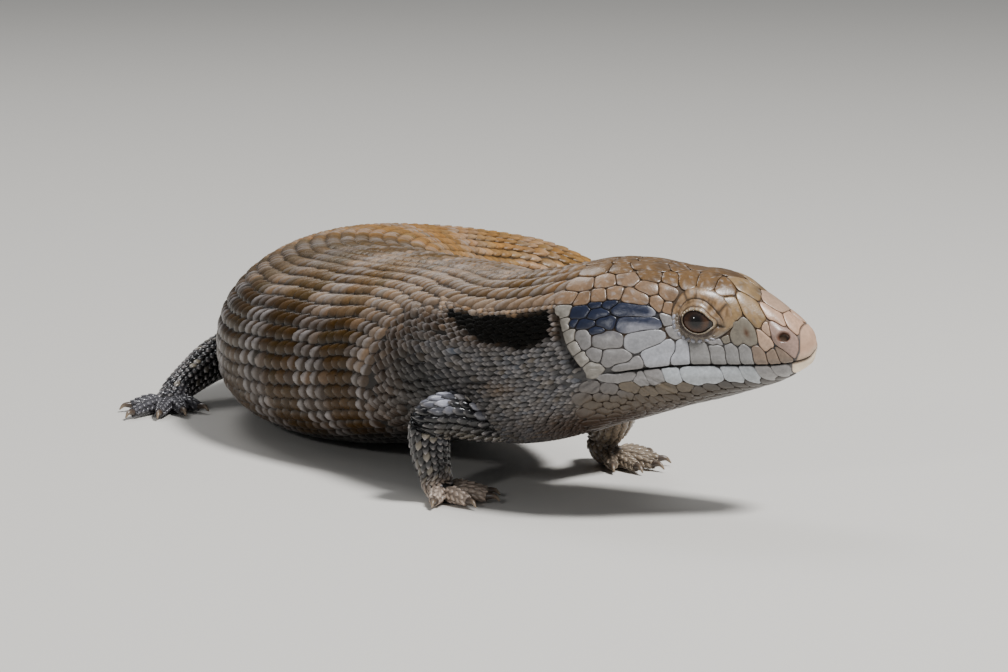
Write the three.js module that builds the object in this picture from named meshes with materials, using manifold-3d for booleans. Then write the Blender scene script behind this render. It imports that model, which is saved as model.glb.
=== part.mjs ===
// A blue-tongued skink at life size, walking, with its body curled round to its left.
// Millimetres, +Z up. The head faces +X and the floor is at z = 0.
// The flesh is one form made of upright sections along a curved spine. It is parted into
// nodes by thin cuts, and every limb is a tube that is parted in the same way.

import * as THREE from 'three';
import { mergeVertices } from 'three/addons/utils/BufferGeometryUtils.js';
import Module from 'manifold-3d';

const wasm = await Module();
wasm.setup();

// Driving dimensions

const gap = 0.3;
const bodyLength = 446;
const snout = { x: 81.7, y: -16.7 };

// Distance from the snout, and the direction in degrees that the spine runs there, seen from above.
const spineCourse = [
  [0, 162], [52, 162], [62, 153], [73, 138], [84, 123], [95, 110], [106, 106], [126, 115],
  [144, 120], [172, 117], [200, 104], [225, 92], [248, 80], [268, 63], [288, 42], [310, 21],
  [334, 7], [352, -14], [368, -58], [384, -98], [400, -114], [420, -119], [446, -122],
];

// Distance from the snout, underside height, top height, half width.
const bodySize = [
  [0, 44.8, 46.2, 0.6], [1, 41.5, 49.5, 3.8], [2.5, 40, 51.2, 5.8], [4.5, 38.7, 52.7, 7.3],
  [8.8, 36.4, 55.9, 9.4], [15, 34.2, 60, 11.9], [19, 32.9, 62.8, 13.3], [24, 31.4, 64.6, 14.9],
  [32, 29.4, 65.3, 17.2], [44, 25.7, 67, 20.8], [53, 22.8, 67.2, 22], [60, 20.2, 66.2, 21.6],
  [70, 17, 64, 20.8], [80, 14.8, 62, 21.4], [92, 13.3, 60.6, 24.2], [106, 11.6, 59.6, 28],
  [125, 8.3, 58.4, 32.4], [145, 4.6, 57.2, 36.4], [172, 0.8, 56, 40], [200, -0.5, 54, 41.5],
  [225, -0.5, 53, 40.5], [248, 0.4, 52.2, 37.5], [268, 1.6, 51, 32], [288, 3.6, 48.8, 26],
  [310, 5, 45.6, 21], [334, 4, 40, 17], [356, 1, 29, 13.2], [380, -0.4, 20.5, 9.8],
  [405, -0.5, 14, 6.6], [430, -0.5, 8, 3.6], [446, 0.6, 3, 1],
];

// Distance from the snout, height share of the widest point, squareness above it, squareness below it.
const bodyShape = [
  [0, 0.45, 2.2, 2.2], [9, 0.4, 2.45, 2.3], [19, 0.35, 2.7, 2.3], [32, 0.34, 2.9, 2.3],
  [44, 0.36, 2.9, 2.3], [53, 0.38, 2.7, 2.3], [64, 0.42, 2.35, 2.3], [80, 0.45, 2.2, 2.35],
  [106, 0.45, 2.15, 2.5], [446, 0.45, 2.15, 2.6],
];

// Swellings and hollows of the head: distance from the snout, distance across from the crown,
// reach along, reach across, height. Each is on both sides.
const headSwellings = [
  { name: 'brow', along: 29, across: 15, reachAlong: 9, reachAcross: 4, height: 1.3 },
  { name: 'eye hollow', along: 29.7, across: 22, reachAlong: 6.5, reachAcross: 4.5, height: -1.2 },
  { name: 'jowl', along: 46, across: 38, reachAlong: 12, reachAcross: 8, height: 1.2 },
  { name: 'nose', along: 7, across: 11, reachAlong: 4, reachAcross: 4, height: 0.4 },
];

// The shields of the head: name, distance from the snout, distance across from the crown, size,
// half length, half width, turn in degrees. Those at 0 across lie on the middle line, and the
// rest are on both sides.
const headShields = [
  ['rostral', 1.4, 0, 5.5, 2.6, 9.5, 0],
  ['supranasal', 6.2, 4, 2.6, 2.8, 3.6, 0],
  ['nasal', 7.2, 11.2, 3.3, 3.3, 3.5, 0],
  ['postnasal', 10.6, 8.4, 1.9, 2, 2.2, 0],
  ['postnasal_low', 12, 12.6, 1.9, 2, 2.2, 0],
  ['frontonasal', 12.2, 0, 4.4, 4.6, 6.2, 0],
  ['prefrontal', 18.2, 5.8, 4.2, 5, 5.6, 0],
  ['canthal', 17.2, 12.6, 3.4, 4.8, 3.2, 0],
  ['loreal_front', 12.6, 17, 2.6, 2.8, 2.8, 0],
  ['loreal_rear', 18.2, 19.2, 3.2, 3.4, 3.6, 0],
  ['preocular_high', 23.2, 17, 1.9, 2.2, 1.8, 0],
  ['preocular_low', 23.2, 20.8, 1.8, 1.8, 2, 0],
  ['frontal', 27.5, 0, 4.6, 7.4, 4.4, 0],
  ['supraocular_1', 24.5, 9.6, 3, 3.2, 4.2, 0],
  ['supraocular_2', 29.6, 9.8, 3.3, 3, 4.4, 0],
  ['supraocular_3', 34.4, 10.6, 2.8, 2.8, 4, 0],
  ['brow_1', 25.6, 14.8, 1.4, 1.8, 1.3, 0],
  ['brow_2', 28.8, 15.6, 1.4, 1.8, 1.3, 0],
  ['brow_3', 32, 16, 1.4, 1.8, 1.3, 0],
  ['brow_4', 35.2, 16.4, 1.6, 1.9, 1.5, 0],
  ['frontoparietal', 38.2, 4.2, 3.6, 4, 4.2, 0],
  ['interparietal', 43.6, 0, 2.4, 4.6, 2.6, 0],
  ['parietal', 45.4, 7.4, 4.6, 5.2, 5.2, 0],
  ['nuchal_inner', 52.4, 3.4, 3.2, 3, 3.6, 0],
  ['nuchal_outer', 53, 10.4, 3.2, 3.2, 3.8, 0],
  ['temple_1', 40.2, 15, 2.9, 3.2, 3, 0],
  ['temple_2', 46.4, 15.4, 2.6, 3.2, 2.4, 0],
  ['temple_3', 45, 19.6, 2.2, 3.6, 2, 0],
  ['temple_4', 51.6, 16.6, 2.4, 3, 2.6, 0],
  ['temple_5', 50.6, 20.4, 2, 2.8, 1.8, 0],
  ['temple_6', 57, 17, 2.4, 2.8, 2.8, 0],
  ['amber', 39.8, 20.2, 1.5, 1.8, 1.3, 0],
  ['postocular_1', 37.4, 22.6, 1.4, 1.6, 1.4, 0],
  ['postocular_2', 36.2, 25, 1.4, 1.5, 1.4, 0],
  ['subocular_1', 24.6, 24.6, 1.5, 1.8, 1.3, 0],
  ['subocular_2', 27.4, 26.4, 1.4, 1.7, 1.2, 0],
  ['subocular_3', 30.4, 27.2, 1.4, 1.7, 1.2, 0],
  ['subocular_4', 33.4, 26.8, 1.4, 1.7, 1.2, 0],
  ['streak_high', 45.4, 23.8, 2.4, 6, 1.9, 0],
  ['streak_low', 43.6, 27.6, 2.6, 6.4, 2.1, 8],
  ['black_1', 53.2, 24.6, 1.8, 2.2, 1.7, 0],
  ['black_2', 52, 28, 1.8, 2.2, 1.8, 0],
  ['black_3', 56.6, 25.4, 1.5, 1.8, 1.5, 0],
  ['black_4', 55.6, 28.6, 1.5, 1.7, 1.5, 0],
  ['upper_lip_1', 6, 16, 1.9, 2.2, 1.8, 0],
  ['upper_lip_2', 9.4, 19, 2, 2.1, 2.1, 25],
  ['upper_lip_3', 13, 21.8, 2.2, 2.3, 2.3, 25],
  ['upper_lip_4', 16.8, 24.5, 2.3, 2.3, 2.4, 20],
  ['upper_lip_5', 20.6, 26.8, 2.4, 2.4, 2.5, 15],
  ['upper_lip_6', 24.9, 28.8, 2.4, 2.5, 2.5, 10],
  ['upper_lip_7', 29.4, 30.6, 2.5, 2.6, 2.4, 8],
  ['upper_lip_8', 34.2, 31.8, 2.6, 2.7, 2.7, 8],
  ['upper_lip_9', 39.4, 34.2, 2.5, 2.7, 2.6, 12],
  ['cheek_1', 40, 30, 2, 2.6, 1.8, 0],
  ['cheek_2', 45.2, 32.4, 2.6, 3, 2.6, 0],
  ['cheek_3', 50.4, 32.8, 2.4, 2.6, 2.4, 0],
  ['cheek_4', 46.8, 37, 2.4, 2.8, 2.2, 0],
  ['cheek_5', 51.6, 37.2, 2.2, 2.4, 2.2, 0],
  ['cheek_6', 55.2, 33.8, 1.7, 1.8, 2, 0],
  ['lower_lip_1', 5.6, 21, 2, 2.4, 2.2, 0],
  ['lower_lip_2', 9.8, 25.4, 2.2, 2.4, 2.4, 30],
  ['lower_lip_3', 14.2, 29.4, 2.3, 2.5, 2.4, 30],
  ['lower_lip_4', 18.8, 32.6, 2.3, 2.5, 2.4, 22],
  ['lower_lip_5', 23.6, 35, 2.3, 2.6, 2.2, 14],
  ['lower_lip_6', 28.6, 36.6, 2.3, 2.6, 2.1, 10],
  ['lower_lip_7', 33.6, 38, 2.3, 2.6, 2.1, 10],
  ['lower_lip_8', 38.6, 40.2, 2.3, 2.6, 2.2, 16],
  ['lower_lip_9', 43.4, 42.6, 2.2, 2.6, 2.2, 20],
];
const shield = {
  suture: 0.35,
  raisedFromSize: 2.3,
  firstAlong: 3,
  lift: 0.4,
  root: 0.6,
  topShare: 0.93,
  middleRingFromSize: 4,
  longestEdge: 4.2,
  shortestEdge: 1,
  neighbourReach: 14,
};
const shieldCorners = [
  [1, 0.5], [0.55, 1], [-0.55, 1], [-1, 0.5],
  [-1, -0.5], [-0.55, -1], [0.55, -1], [1, -0.5],
];

// Where each node of the body starts, in millimetres behind the snout.
const bodyNodes = [
  { name: 'head', from: 0, rings: 15 },
  { name: 'neck', from: 63, rings: 3 },
  { name: 'shoulders', from: 76, rings: 6 },
  { name: 'trunk_front', from: 112, rings: 5 },
  { name: 'trunk_middle', from: 150, rings: 5 },
  { name: 'trunk_rear', from: 190, rings: 6 },
  { name: 'loin', from: 232, rings: 4 },
  { name: 'hips', from: 256, rings: 6 },
  { name: 'tail_base', from: 292, rings: 6 },
  { name: 'tail_middle', from: 330, rings: 7 },
  { name: 'tail_end', from: 368, rings: 6 },
  { name: 'tail_tip', from: 408, rings: 5 },
];
const pointsRoundBody = 32;
const pointsRoundHead = 24;
// The rings of the head stand closer towards the tip of the snout, by this power.
const headRingPower = 1.5;

const eye = { along: 29.7, lateral: 12.9, height: 53.4, radius: 5, around: 14, down: 10 };
const lid = { thickness: 0.75, halfLength: 3.25, halfHeight: 2.55, sides: 14, cutReach: 12 };

// The line of the mouth: distance from the snout, height.
const mouthLine = [[0.4, 43.3], [5, 42.1], [18, 41.8], [32, 42], [42, 41.3], [50, 40]];
const mouthGroove = { radius: 0.7, sides: 4, steps: 22 };

const nostril = { along: 6.8, across: 11, radius: 1.2, length: 1.56, depth: 1.6, around: 8, down: 6 };
const earCup = {
  along: 57, height: 43.4, radiusAlong: 1.7, radiusUp: 5, depth: 3, lean: 22, around: 10, down: 8,
};

// Each limb runs from inside the body to the palm: x, y, z, half width, half height of its section.
// Toes are given by the place of their tips, from the inner one to the outer one.
const limbs = [
  {
    name: 'front_right',
    upper: 'upper_arm',
    lower: 'forearm',
    path: [
      [6, 13, 22, 7, 7], [-6, 5.5, 23.2, 6.8, 6.8],
      [-15.2, 5, 24, 6.4, 6.2], [-19.6, 7, 20.5, 6.3, 6],
      [-19.6, 8, 13, 6, 5.4], [-18.3, 8.4, 6.8, 5.1, 4.4],
      [-17.2, 7.2, 3.2, 5.2, 3.5], [-14, 4.4, 2.3, 4.4, 2.7],
    ],
    elbowAt: 2.4,
    wristAt: 4.9,
    palm: [-16.8, 7],
    tips: [[-9, 17], [-4.5, 10.5], [-4.5, 3], [-9.5, -3.6], [-18.5, -3.2]],
    facing: [0.85, -0.53],
  },
  {
    name: 'front_left',
    upper: 'upper_arm',
    lower: 'forearm',
    path: [
      [4, 27, 21, 7, 7], [18, 33, 23, 6.8, 6.8],
      [28, 41, 24, 6.4, 6.2], [31.5, 47, 20.5, 6.3, 6],
      [30.2, 55, 14, 6, 5.4], [27.6, 61.6, 8, 5.3, 4.6],
      [28.4, 60.6, 3.4, 5.2, 3.5], [32.4, 57.6, 2.3, 4.4, 2.7],
    ],
    elbowAt: 2.4,
    wristAt: 4.9,
    palm: [29, 60],
    tips: [[30, 47.5], [36.5, 46], [41.5, 50], [43, 58], [39.5, 69]],
    facing: [0.87, -0.5],
  },
  {
    name: 'hind_right',
    upper: 'thigh',
    lower: 'shank',
    path: [
      [-46, 190, 22, 8.8, 8.8], [-64, 184, 19, 8.6, 8.4],
      [-80, 174.5, 14.5, 7.6, 7], [-87.5, 167.5, 12, 6.8, 6.2],
      [-92.5, 161, 9, 5.9, 5.2], [-97, 154.5, 5.8, 5.1, 4.3],
      [-99, 150.5, 3.2, 5.2, 3.5], [-100.6, 146, 2.3, 4.4, 2.7],
    ],
    elbowAt: 2.6,
    wristAt: 4.9,
    palm: [-99.4, 149.6],
    tips: [[-90.5, 143], [-95, 136.5], [-101.5, 132], [-109.5, 132.5], [-111, 145]],
    facing: [-0.33, -0.94],
  },
  {
    name: 'hind_left',
    upper: 'thigh',
    lower: 'shank',
    path: [
      [-26, 178, 22, 8.8, 8.8], [-12, 169, 20, 8.6, 8.4],
      [1, 161, 17.5, 7.6, 7], [4.5, 155, 14.5, 6.8, 6.2],
      [4, 149, 10, 5.9, 5.2], [4, 144, 6, 5.1, 4.3],
      [5.4, 140.4, 3.2, 5.2, 3.5], [7.6, 136.2, 2.3, 4.4, 2.7],
    ],
    elbowAt: 2.6,
    wristAt: 4.9,
    palm: [6, 139.4],
    tips: [[-4.5, 135.5], [1.5, 127.5], [8.5, 122], [16.5, 123.5], [18, 135]],
    facing: [0.46, -0.89],
  },
];
const limbSides = 12;
const limbRings = 6;
const footRings = 4;
const limbClearance = { from: 60, to: 340, rings: 48, room: 0.35 };
const wristClearance = { room: 0.6, shareOfGap: 0.8 };
// How far the upright of a limb's section leans the way its foot faces.
const sectionLean = 0.6;

const toe = {
  rootShare: 0.3, rootRadius: 2.6, rootHeight: 2.6,
  middleShare: 0.62, middleRadius: 2.4, middleHeight: 2.7,
  tipRadius: 1.6, tipHeight: 2,
  sides: 6, rings: 3,
};
const claw = {
  length: 3.6, radius: 1.1, height: 2,
  middleShare: 0.55, middleRadius: 0.68, middleHeight: 2.2,
  tipRadius: 0.18, tipHeight: 0.9,
  sides: 5, rings: 3,
};

// Skin tones of each part of the animal.
const skin = {
  head: { color: '#9a7a5c', roughness: 0.5 },
  body: { color: '#8a7152', roughness: 0.55 },
  limb: { color: '#33302e', roughness: 0.45 },
  claw: { color: '#5a4c42', roughness: 0.4 },
  eye: { color: '#24140c', roughness: 0.08 },
};

// Curves through tables

// Reads a table of rows [station, value, value, ...] on a smooth curve through its rows.
function smooth(table, station) {
  const at = THREE.MathUtils.clamp(station, table[0][0], table[table.length - 1][0]);
  let i = 0;
  while (i < table.length - 2 && at > table[i + 1][0]) i += 1;
  const slope = (row, column) => {
    const before = table[Math.max(row - 1, 0)];
    const here = table[row];
    const after = table[Math.min(row + 1, table.length - 1)];
    const stepBefore = here[0] - before[0];
    const stepAfter = after[0] - here[0];
    const fromBefore = (here[column] - before[column]) / stepBefore;
    const toAfter = (after[column] - here[column]) / stepAfter;
    if (row === 0) return toAfter;
    if (row === table.length - 1) return fromBefore;
    return (fromBefore * stepAfter + toAfter * stepBefore) / (stepBefore + stepAfter);
  };
  const span = table[i + 1][0] - table[i][0];
  const u = (at - table[i][0]) / span;
  const values = [];
  for (let column = 1; column < table[0].length; column += 1) {
    const start = (1 + 2 * u) * (1 - u) ** 2 * table[i][column];
    const startSlope = u * (1 - u) ** 2 * span * slope(i, column);
    const end = u * u * (3 - 2 * u) * table[i + 1][column];
    const endSlope = u * u * (1 - u) * span * slope(i + 1, column);
    values.push(start + startSlope + end - endSlope);
  }
  return values;
}

// The spine

const spineStep = 0.5;
const spinePoints = [new THREE.Vector2(snout.x, snout.y)];
for (let s = 0; s < bodyLength; s += spineStep) {
  const course = THREE.MathUtils.degToRad(smooth(spineCourse, s + spineStep / 2)[0]);
  const last = spinePoints[spinePoints.length - 1];
  const stride = new THREE.Vector2(Math.cos(course), Math.sin(course)).multiplyScalar(spineStep);
  spinePoints.push(last.clone().add(stride));
}

// The place of the spine at a distance from the snout, and the direction from it to the
// animal's right.
function spineAt(s) {
  const place = THREE.MathUtils.clamp(s / spineStep, 0, spinePoints.length - 1);
  const i = Math.min(Math.floor(place), spinePoints.length - 2);
  const point = spinePoints[i].clone().lerp(spinePoints[i + 1], place - i);
  const course = THREE.MathUtils.degToRad(smooth(spineCourse, s)[0]);
  return { point, right: new THREE.Vector2(-Math.sin(course), Math.cos(course)) };
}

// Sections of the flesh

// Half of a section, from the crown to the middle of the underside, as points with their distance
// along the skin and their outward directions.
const halfSectionSteps = 72;
const sections = new Map();
function halfSection(s) {
  if (sections.has(s)) return sections.get(s);
  const [bottom, top, halfWidth] = smooth(bodySize, s);
  const [widest, above, below] = smooth(bodyShape, s);
  const middle = bottom + (top - bottom) * widest;
  const points = [];
  let travelled = 0;
  for (let i = 0; i <= halfSectionSteps; i += 1) {
    const angle = (Math.PI * i) / halfSectionSteps;
    const power = 2 / (angle < Math.PI / 2 ? above : below);
    const lateral = halfWidth * Math.abs(Math.sin(angle)) ** power;
    const rise = Math.abs(Math.cos(angle)) ** power;
    const reach = angle < Math.PI / 2 ? top - middle : bottom - middle;
    const height = middle + reach * rise;
    const point = new THREE.Vector2(lateral, height);
    if (i > 0) travelled += point.distanceTo(points[i - 1].point);
    points.push({ point, travelled });
  }
  points.forEach((entry, i) => {
    const before = points[Math.max(i - 1, 0)].point;
    const after = points[Math.min(i + 1, points.length - 1)].point;
    const along = after.clone().sub(before).normalize();
    entry.out = new THREE.Vector2(-along.y, along.x);
  });
  sections.set(s, points);
  return points;
}

// Distance over the skin from the crown to the middle of the underside.
function halfGirth(s) {
  return halfSection(s)[halfSectionSteps].travelled;
}

function swellingAt(s, across) {
  let height = 0;
  for (const swelling of headSwellings) {
    const u = (s - swelling.along) / swelling.reachAlong;
    const v = (across - swelling.across) / swelling.reachAcross;
    height += swelling.height * Math.exp(-(u * u + v * v));
  }
  return height;
}

// A point of the skin: s behind the snout, across millimetres over the skin from the crown
// (positive on the right), raised by lift.
function skinPoint(s, across, lift = 0) {
  const points = halfSection(s);
  const distance = Math.min(Math.abs(across), halfGirth(s));
  let i = 0;
  while (i < points.length - 2 && distance > points[i + 1].travelled) i += 1;
  const u = (distance - points[i].travelled) / (points[i + 1].travelled - points[i].travelled);
  const place = points[i].point.clone().lerp(points[i + 1].point, u);
  const out = points[i].out.clone().lerp(points[i + 1].out, u).normalize();
  place.addScaledVector(out, lift + swellingAt(s, distance));
  const { point, right } = spineAt(s);
  const lateral = across < 0 ? -place.x : place.x;
  return new THREE.Vector3(point.x + right.x * lateral, point.y + right.y * lateral, place.y);
}

// The distance across at which the right side of a section reaches a height, below the crown.
function acrossAtHeight(s, height) {
  const points = halfSection(s);
  let i = 0;
  while (i < points.length - 2 && points[i + 1].point.y > height) i += 1;
  const u = (points[i].point.y - height) / (points[i].point.y - points[i + 1].point.y);
  return points[i].travelled + u * (points[i + 1].travelled - points[i].travelled);
}

function bodyRing(s, count, lift) {
  const girth = halfGirth(s);
  const ring = [];
  for (let i = 0; i < count; i += 1) {
    const share = (2 * i) / count - 1;
    ring.push(skinPoint(s, share * girth, lift));
  }
  return ring;
}

// Closed shapes

function middleOf(ring) {
  const middle = new THREE.Vector3();
  ring.forEach((point) => middle.addScaledVector(point, 1 / ring.length));
  return middle;
}

// Closes a stack of rings, each with as many points, by a fan at each end.
function closedStack(rings, lastMiddle = middleOf(rings[rings.length - 1])) {
  const count = rings[0].length;
  const places = [...rings.flat(), middleOf(rings[0]), lastMiddle];
  const faces = [];
  for (let r = 0; r < rings.length - 1; r += 1) {
    for (let i = 0; i < count; i += 1) {
      const a = r * count + i;
      const b = r * count + ((i + 1) % count);
      faces.push(a, b, b + count, a, b + count, a + count);
    }
  }
  const end = (rings.length - 1) * count;
  for (let i = 0; i < count; i += 1) {
    const next = (i + 1) % count;
    faces.push(places.length - 2, next, i);
    faces.push(places.length - 1, end + i, end + next);
  }
  const geometry = new THREE.BufferGeometry().setFromPoints(places);
  geometry.setIndex(faces);
  return facingOut(geometry);
}

// Turns the faces over where they point inwards.
function facingOut(geometry) {
  const p = geometry.attributes.position;
  const index = geometry.index.array;
  const corner = [new THREE.Vector3(), new THREE.Vector3(), new THREE.Vector3()];
  let volume = 0;
  for (let i = 0; i < index.length; i += 3) {
    corner.forEach((v, k) => v.fromBufferAttribute(p, index[i + k]));
    volume += corner[0].dot(corner[1].clone().cross(corner[2]));
  }
  if (volume < 0) {
    for (let i = 0; i < index.length; i += 3) {
      [index[i + 1], index[i + 2]] = [index[i + 2], index[i + 1]];
    }
  }
  return geometry;
}

function solid(source) {
  const bare = source.clone();
  bare.deleteAttribute('normal');
  bare.deleteAttribute('uv');
  const geometry = mergeVertices(bare, 1e-4);
  const vertProperties = Float32Array.from(geometry.attributes.position.array);
  const triVerts = Uint32Array.from(geometry.index.array);
  return new wasm.Manifold(new wasm.Mesh({ numProp: 3, vertProperties, triVerts }));
}

// The largest closed surface of a solid, as a geometry.
function toGeometry(shape) {
  const pieces = shape.decompose().sort((a, b) => b.volume() - a.volume());
  const mesh = pieces[0].getMesh();
  const geometry = new THREE.BufferGeometry();
  geometry.setAttribute('position', new THREE.BufferAttribute(mesh.vertProperties, 3));
  geometry.setIndex(new THREE.BufferAttribute(mesh.triVerts, 1));
  geometry.computeVertexNormals();
  return geometry;
}

const floorRoom = 700;
const room = new THREE.BoxGeometry(floorRoom, floorRoom, floorRoom);
const aboveFloor = solid(room.translate(0, 0, floorRoom / 2));

function ball(radii, around, down) {
  return new THREE.SphereGeometry(1, around, down).scale(radii[0], radii[1], radii[2]);
}

function eyeball(centre, radius) {
  return ball([radius, radius, radius], eye.around, eye.down).translate(centre.x, centre.y, centre.z);
}

// Turns a geometry so that its -Y side faces the animal's right, and moves it to its centre.
function placed(geometry, centre, right) {
  geometry.rotateZ(Math.atan2(-right.x, right.y) + Math.PI);
  return geometry.translate(centre.x, centre.y, centre.z);
}

// The body

function bodyStack(from, to, rings, lift = 0) {
  const count = from === 0 ? pointsRoundHead : pointsRoundBody;
  const stack = [];
  for (let r = 0; r <= rings; r += 1) {
    const share = r / rings;
    const s = from === 0 ? to * share ** headRingPower : THREE.MathUtils.lerp(from, to, share);
    stack.push(bodyRing(s, count, lift));
  }
  return closedStack(stack);
}

// The shields of both sides.
const allShields = headShields.flatMap((row) => {
  const [name, along, across, size, halfLength, halfWidth, turn] = row;
  const shape = { size, halfLength, halfWidth };
  const right = { name, along, across, turn, ...shape };
  const left = { ...right, name: `${name}_left`, across: -across, turn: -turn };
  return across === 0 ? [right] : [right, left];
});

// Cuts off the part of a flat outline that lies further than limit in a direction.
function trim(outline, direction, limit) {
  const kept = [];
  outline.forEach((corner, i) => {
    const next = outline[(i + 1) % outline.length];
    const here = corner.dot(direction) - limit;
    const there = next.dot(direction) - limit;
    if (here <= 0) kept.push(corner);
    if (here * there < 0) kept.push(corner.clone().lerp(next, here / (here - there)));
  });
  return kept;
}

// The outline of a shield: its own long shape, trimmed halfway to each of its neighbours.
function shieldOutline(own) {
  const turn = THREE.MathUtils.degToRad(own.turn);
  const centre = new THREE.Vector2(own.along, own.across);
  const origin = new THREE.Vector2();
  let outline = shieldCorners.map(([u, v]) => {
    const corner = new THREE.Vector2(u * own.halfLength, v * own.halfWidth);
    return corner.rotateAround(origin, turn);
  });
  for (const other of allShields) {
    const direction = new THREE.Vector2(other.along, other.across).sub(centre);
    const distance = direction.length();
    if (other === own || distance > shield.neighbourReach) continue;
    const halfway = (distance ** 2 + own.size ** 2 - other.size ** 2) / (2 * distance);
    outline = trim(outline, direction.divideScalar(distance), halfway - shield.suture / 2);
  }
  const apart = (corner, i) => {
    const next = outline[(i + 1) % outline.length];
    return corner.distanceTo(next) > shield.shortestEdge;
  };
  return outline.filter(apart).map((corner) => corner.add(centre));
}

// A shield as a low plate with a root that is sunk into the head.
function shieldPlate(own) {
  const corners = shieldOutline(own);
  const edge = [];
  corners.forEach((corner, i) => {
    const next = corners[(i + 1) % corners.length];
    const pieces = Math.ceil(corner.distanceTo(next) / shield.longestEdge);
    for (let k = 0; k < pieces; k += 1) edge.push(corner.clone().lerp(next, k / pieces));
  });
  const centre = new THREE.Vector2();
  edge.forEach((corner) => centre.addScaledVector(corner, 1 / edge.length));
  const ring = (share, lift) => edge.map((corner) => {
    const place = centre.clone().lerp(corner, share);
    return skinPoint(place.x, place.y, lift);
  });
  const rings = [ring(1, -shield.root), ring(shield.topShare, shield.lift)];
  if (own.size > shield.middleRingFromSize) rings.push(ring(shield.topShare / 2, shield.lift));
  return closedStack(rings, skinPoint(centre.x, centre.y, shield.lift));
}

// A place in the head, given along the spine, to the side (right is positive) and by height.
function headPlace(along, lateral, height) {
  const { point, right } = spineAt(along);
  return new THREE.Vector3(point.x + right.x * lateral, point.y + right.y * lateral, height);
}

// What is cut out of the lids: a short column on an ellipse, standing out of the side of the head.
function lidOpening(centre, side) {
  const { right } = spineAt(eye.along);
  const out = new THREE.Vector3(right.x * side, right.y * side, 0);
  const along = new THREE.Vector3(-out.y, out.x, 0);
  const stack = [0, lid.cutReach].map((distance) => {
    const ring = [];
    for (let i = 0; i < lid.sides; i += 1) {
      const angle = (2 * Math.PI * i) / lid.sides;
      const point = centre.clone().addScaledVector(out, distance);
      point.addScaledVector(along, lid.halfLength * Math.cos(angle));
      point.z += lid.halfHeight * Math.sin(angle);
      ring.push(point);
    }
    return ring;
  });
  return closedStack(stack);
}

function mouth() {
  const path = [];
  for (const side of [1, -1]) {
    const half = [];
    for (const [s, height] of mouthLine) {
      half.push(skinPoint(s, side * acrossAtHeight(s, height)));
    }
    path.push(...(side > 0 ? half.reverse() : half));
  }
  const corners = [];
  for (let i = 0; i < mouthGroove.sides; i += 1) {
    const angle = (2 * Math.PI * i) / mouthGroove.sides;
    const corner = new THREE.Vector2(Math.cos(angle), Math.sin(angle));
    corners.push(corner.multiplyScalar(mouthGroove.radius));
  }
  const settings = {
    steps: mouthGroove.steps,
    bevelEnabled: false,
    extrudePath: new THREE.CatmullRomCurve3(path),
  };
  return new THREE.ExtrudeGeometry(new THREE.Shape(corners), settings);
}

function withLids(head, side) {
  const centre = headPlace(eye.along, side * eye.lateral, eye.height);
  const clear = eye.radius + gap;
  const lids = solid(eyeball(centre, clear + lid.thickness));
  const hollow = solid(eyeball(centre, clear));
  return head.add(lids).subtract(hollow).subtract(solid(lidOpening(centre, side)));
}

function withNostril(head, side) {
  const centre = skinPoint(nostril.along, side * nostril.across, nostril.radius - nostril.depth);
  const pit = ball([nostril.radius, nostril.length, nostril.radius], nostril.around, nostril.down);
  return head.subtract(solid(placed(pit, centre, spineAt(nostril.along).right)));
}

function withEar(head, side) {
  const across = acrossAtHeight(earCup.along, earCup.height);
  const centre = skinPoint(earCup.along, side * across);
  const cup = ball([earCup.radiusAlong, earCup.depth, earCup.radiusUp], earCup.around, earCup.down);
  cup.rotateY(THREE.MathUtils.degToRad(-side * earCup.lean));
  return head.subtract(solid(placed(cup, centre, spineAt(earCup.along).right)));
}

function headSolid(flesh) {
  let head = flesh;
  for (const own of allShields) {
    if (own.size >= shield.raisedFromSize && own.along > shield.firstAlong) {
      head = head.add(solid(shieldPlate(own)));
    }
  }
  head = head.subtract(solid(mouth()));
  for (const side of [1, -1]) {
    head = withEar(withNostril(withLids(head, side), side), side);
  }
  return head;
}

function bodyMeshes() {
  return bodyNodes.map((node, i) => {
    const from = node.from === 0 ? 0 : node.from + gap / 2;
    const to = i + 1 < bodyNodes.length ? bodyNodes[i + 1].from - gap / 2 : bodyLength;
    const flesh = solid(bodyStack(from, to, node.rings)).intersect(aboveFloor);
    const shape = node.name === 'head' ? headSolid(flesh) : flesh;
    return named(node.name, toGeometry(shape), node.name === 'head' ? skin.head : skin.body);
  });
}

// The limbs

const slopeStep = 0.05;
function placeOn(table, t) {
  const [x, y, z] = smooth(table, t);
  return new THREE.Vector3(x, y, z);
}

// Sections of a tube along a table of rows [station, x, y, z, half width, half height], with the
// width kept level where the tube turns along the floor in the direction it faces.
function tubeRings(table, from, to, rings, sides, facing, lift = 0) {
  const level = new THREE.Vector3(facing[0] * sectionLean, facing[1] * sectionLean, 1);
  const stack = [];
  for (let r = 0; r <= rings; r += 1) {
    const t = THREE.MathUtils.lerp(from, to, r / rings);
    const [x, y, z, halfWidth, halfHeight] = smooth(table, t);
    const ahead = placeOn(table, t + slopeStep).sub(placeOn(table, t - slopeStep));
    const side = ahead.clone().cross(level).normalize();
    const up = side.clone().cross(ahead).normalize();
    const ring = [];
    for (let i = 0; i < sides; i += 1) {
      const angle = (2 * Math.PI * i) / sides;
      const point = new THREE.Vector3(x, y, z);
      point.addScaledVector(side, (halfWidth + lift) * Math.cos(angle));
      point.addScaledVector(up, (halfHeight + lift) * Math.sin(angle));
      ring.push(point);
    }
    stack.push(ring);
  }
  return stack;
}

// The length of a tube's path for one step of its station, to turn the gap into stations.
function pathRate(table, t) {
  const step = 2 * slopeStep;
  return placeOn(table, t - step).distanceTo(placeOn(table, t + step)) / (2 * step);
}

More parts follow.
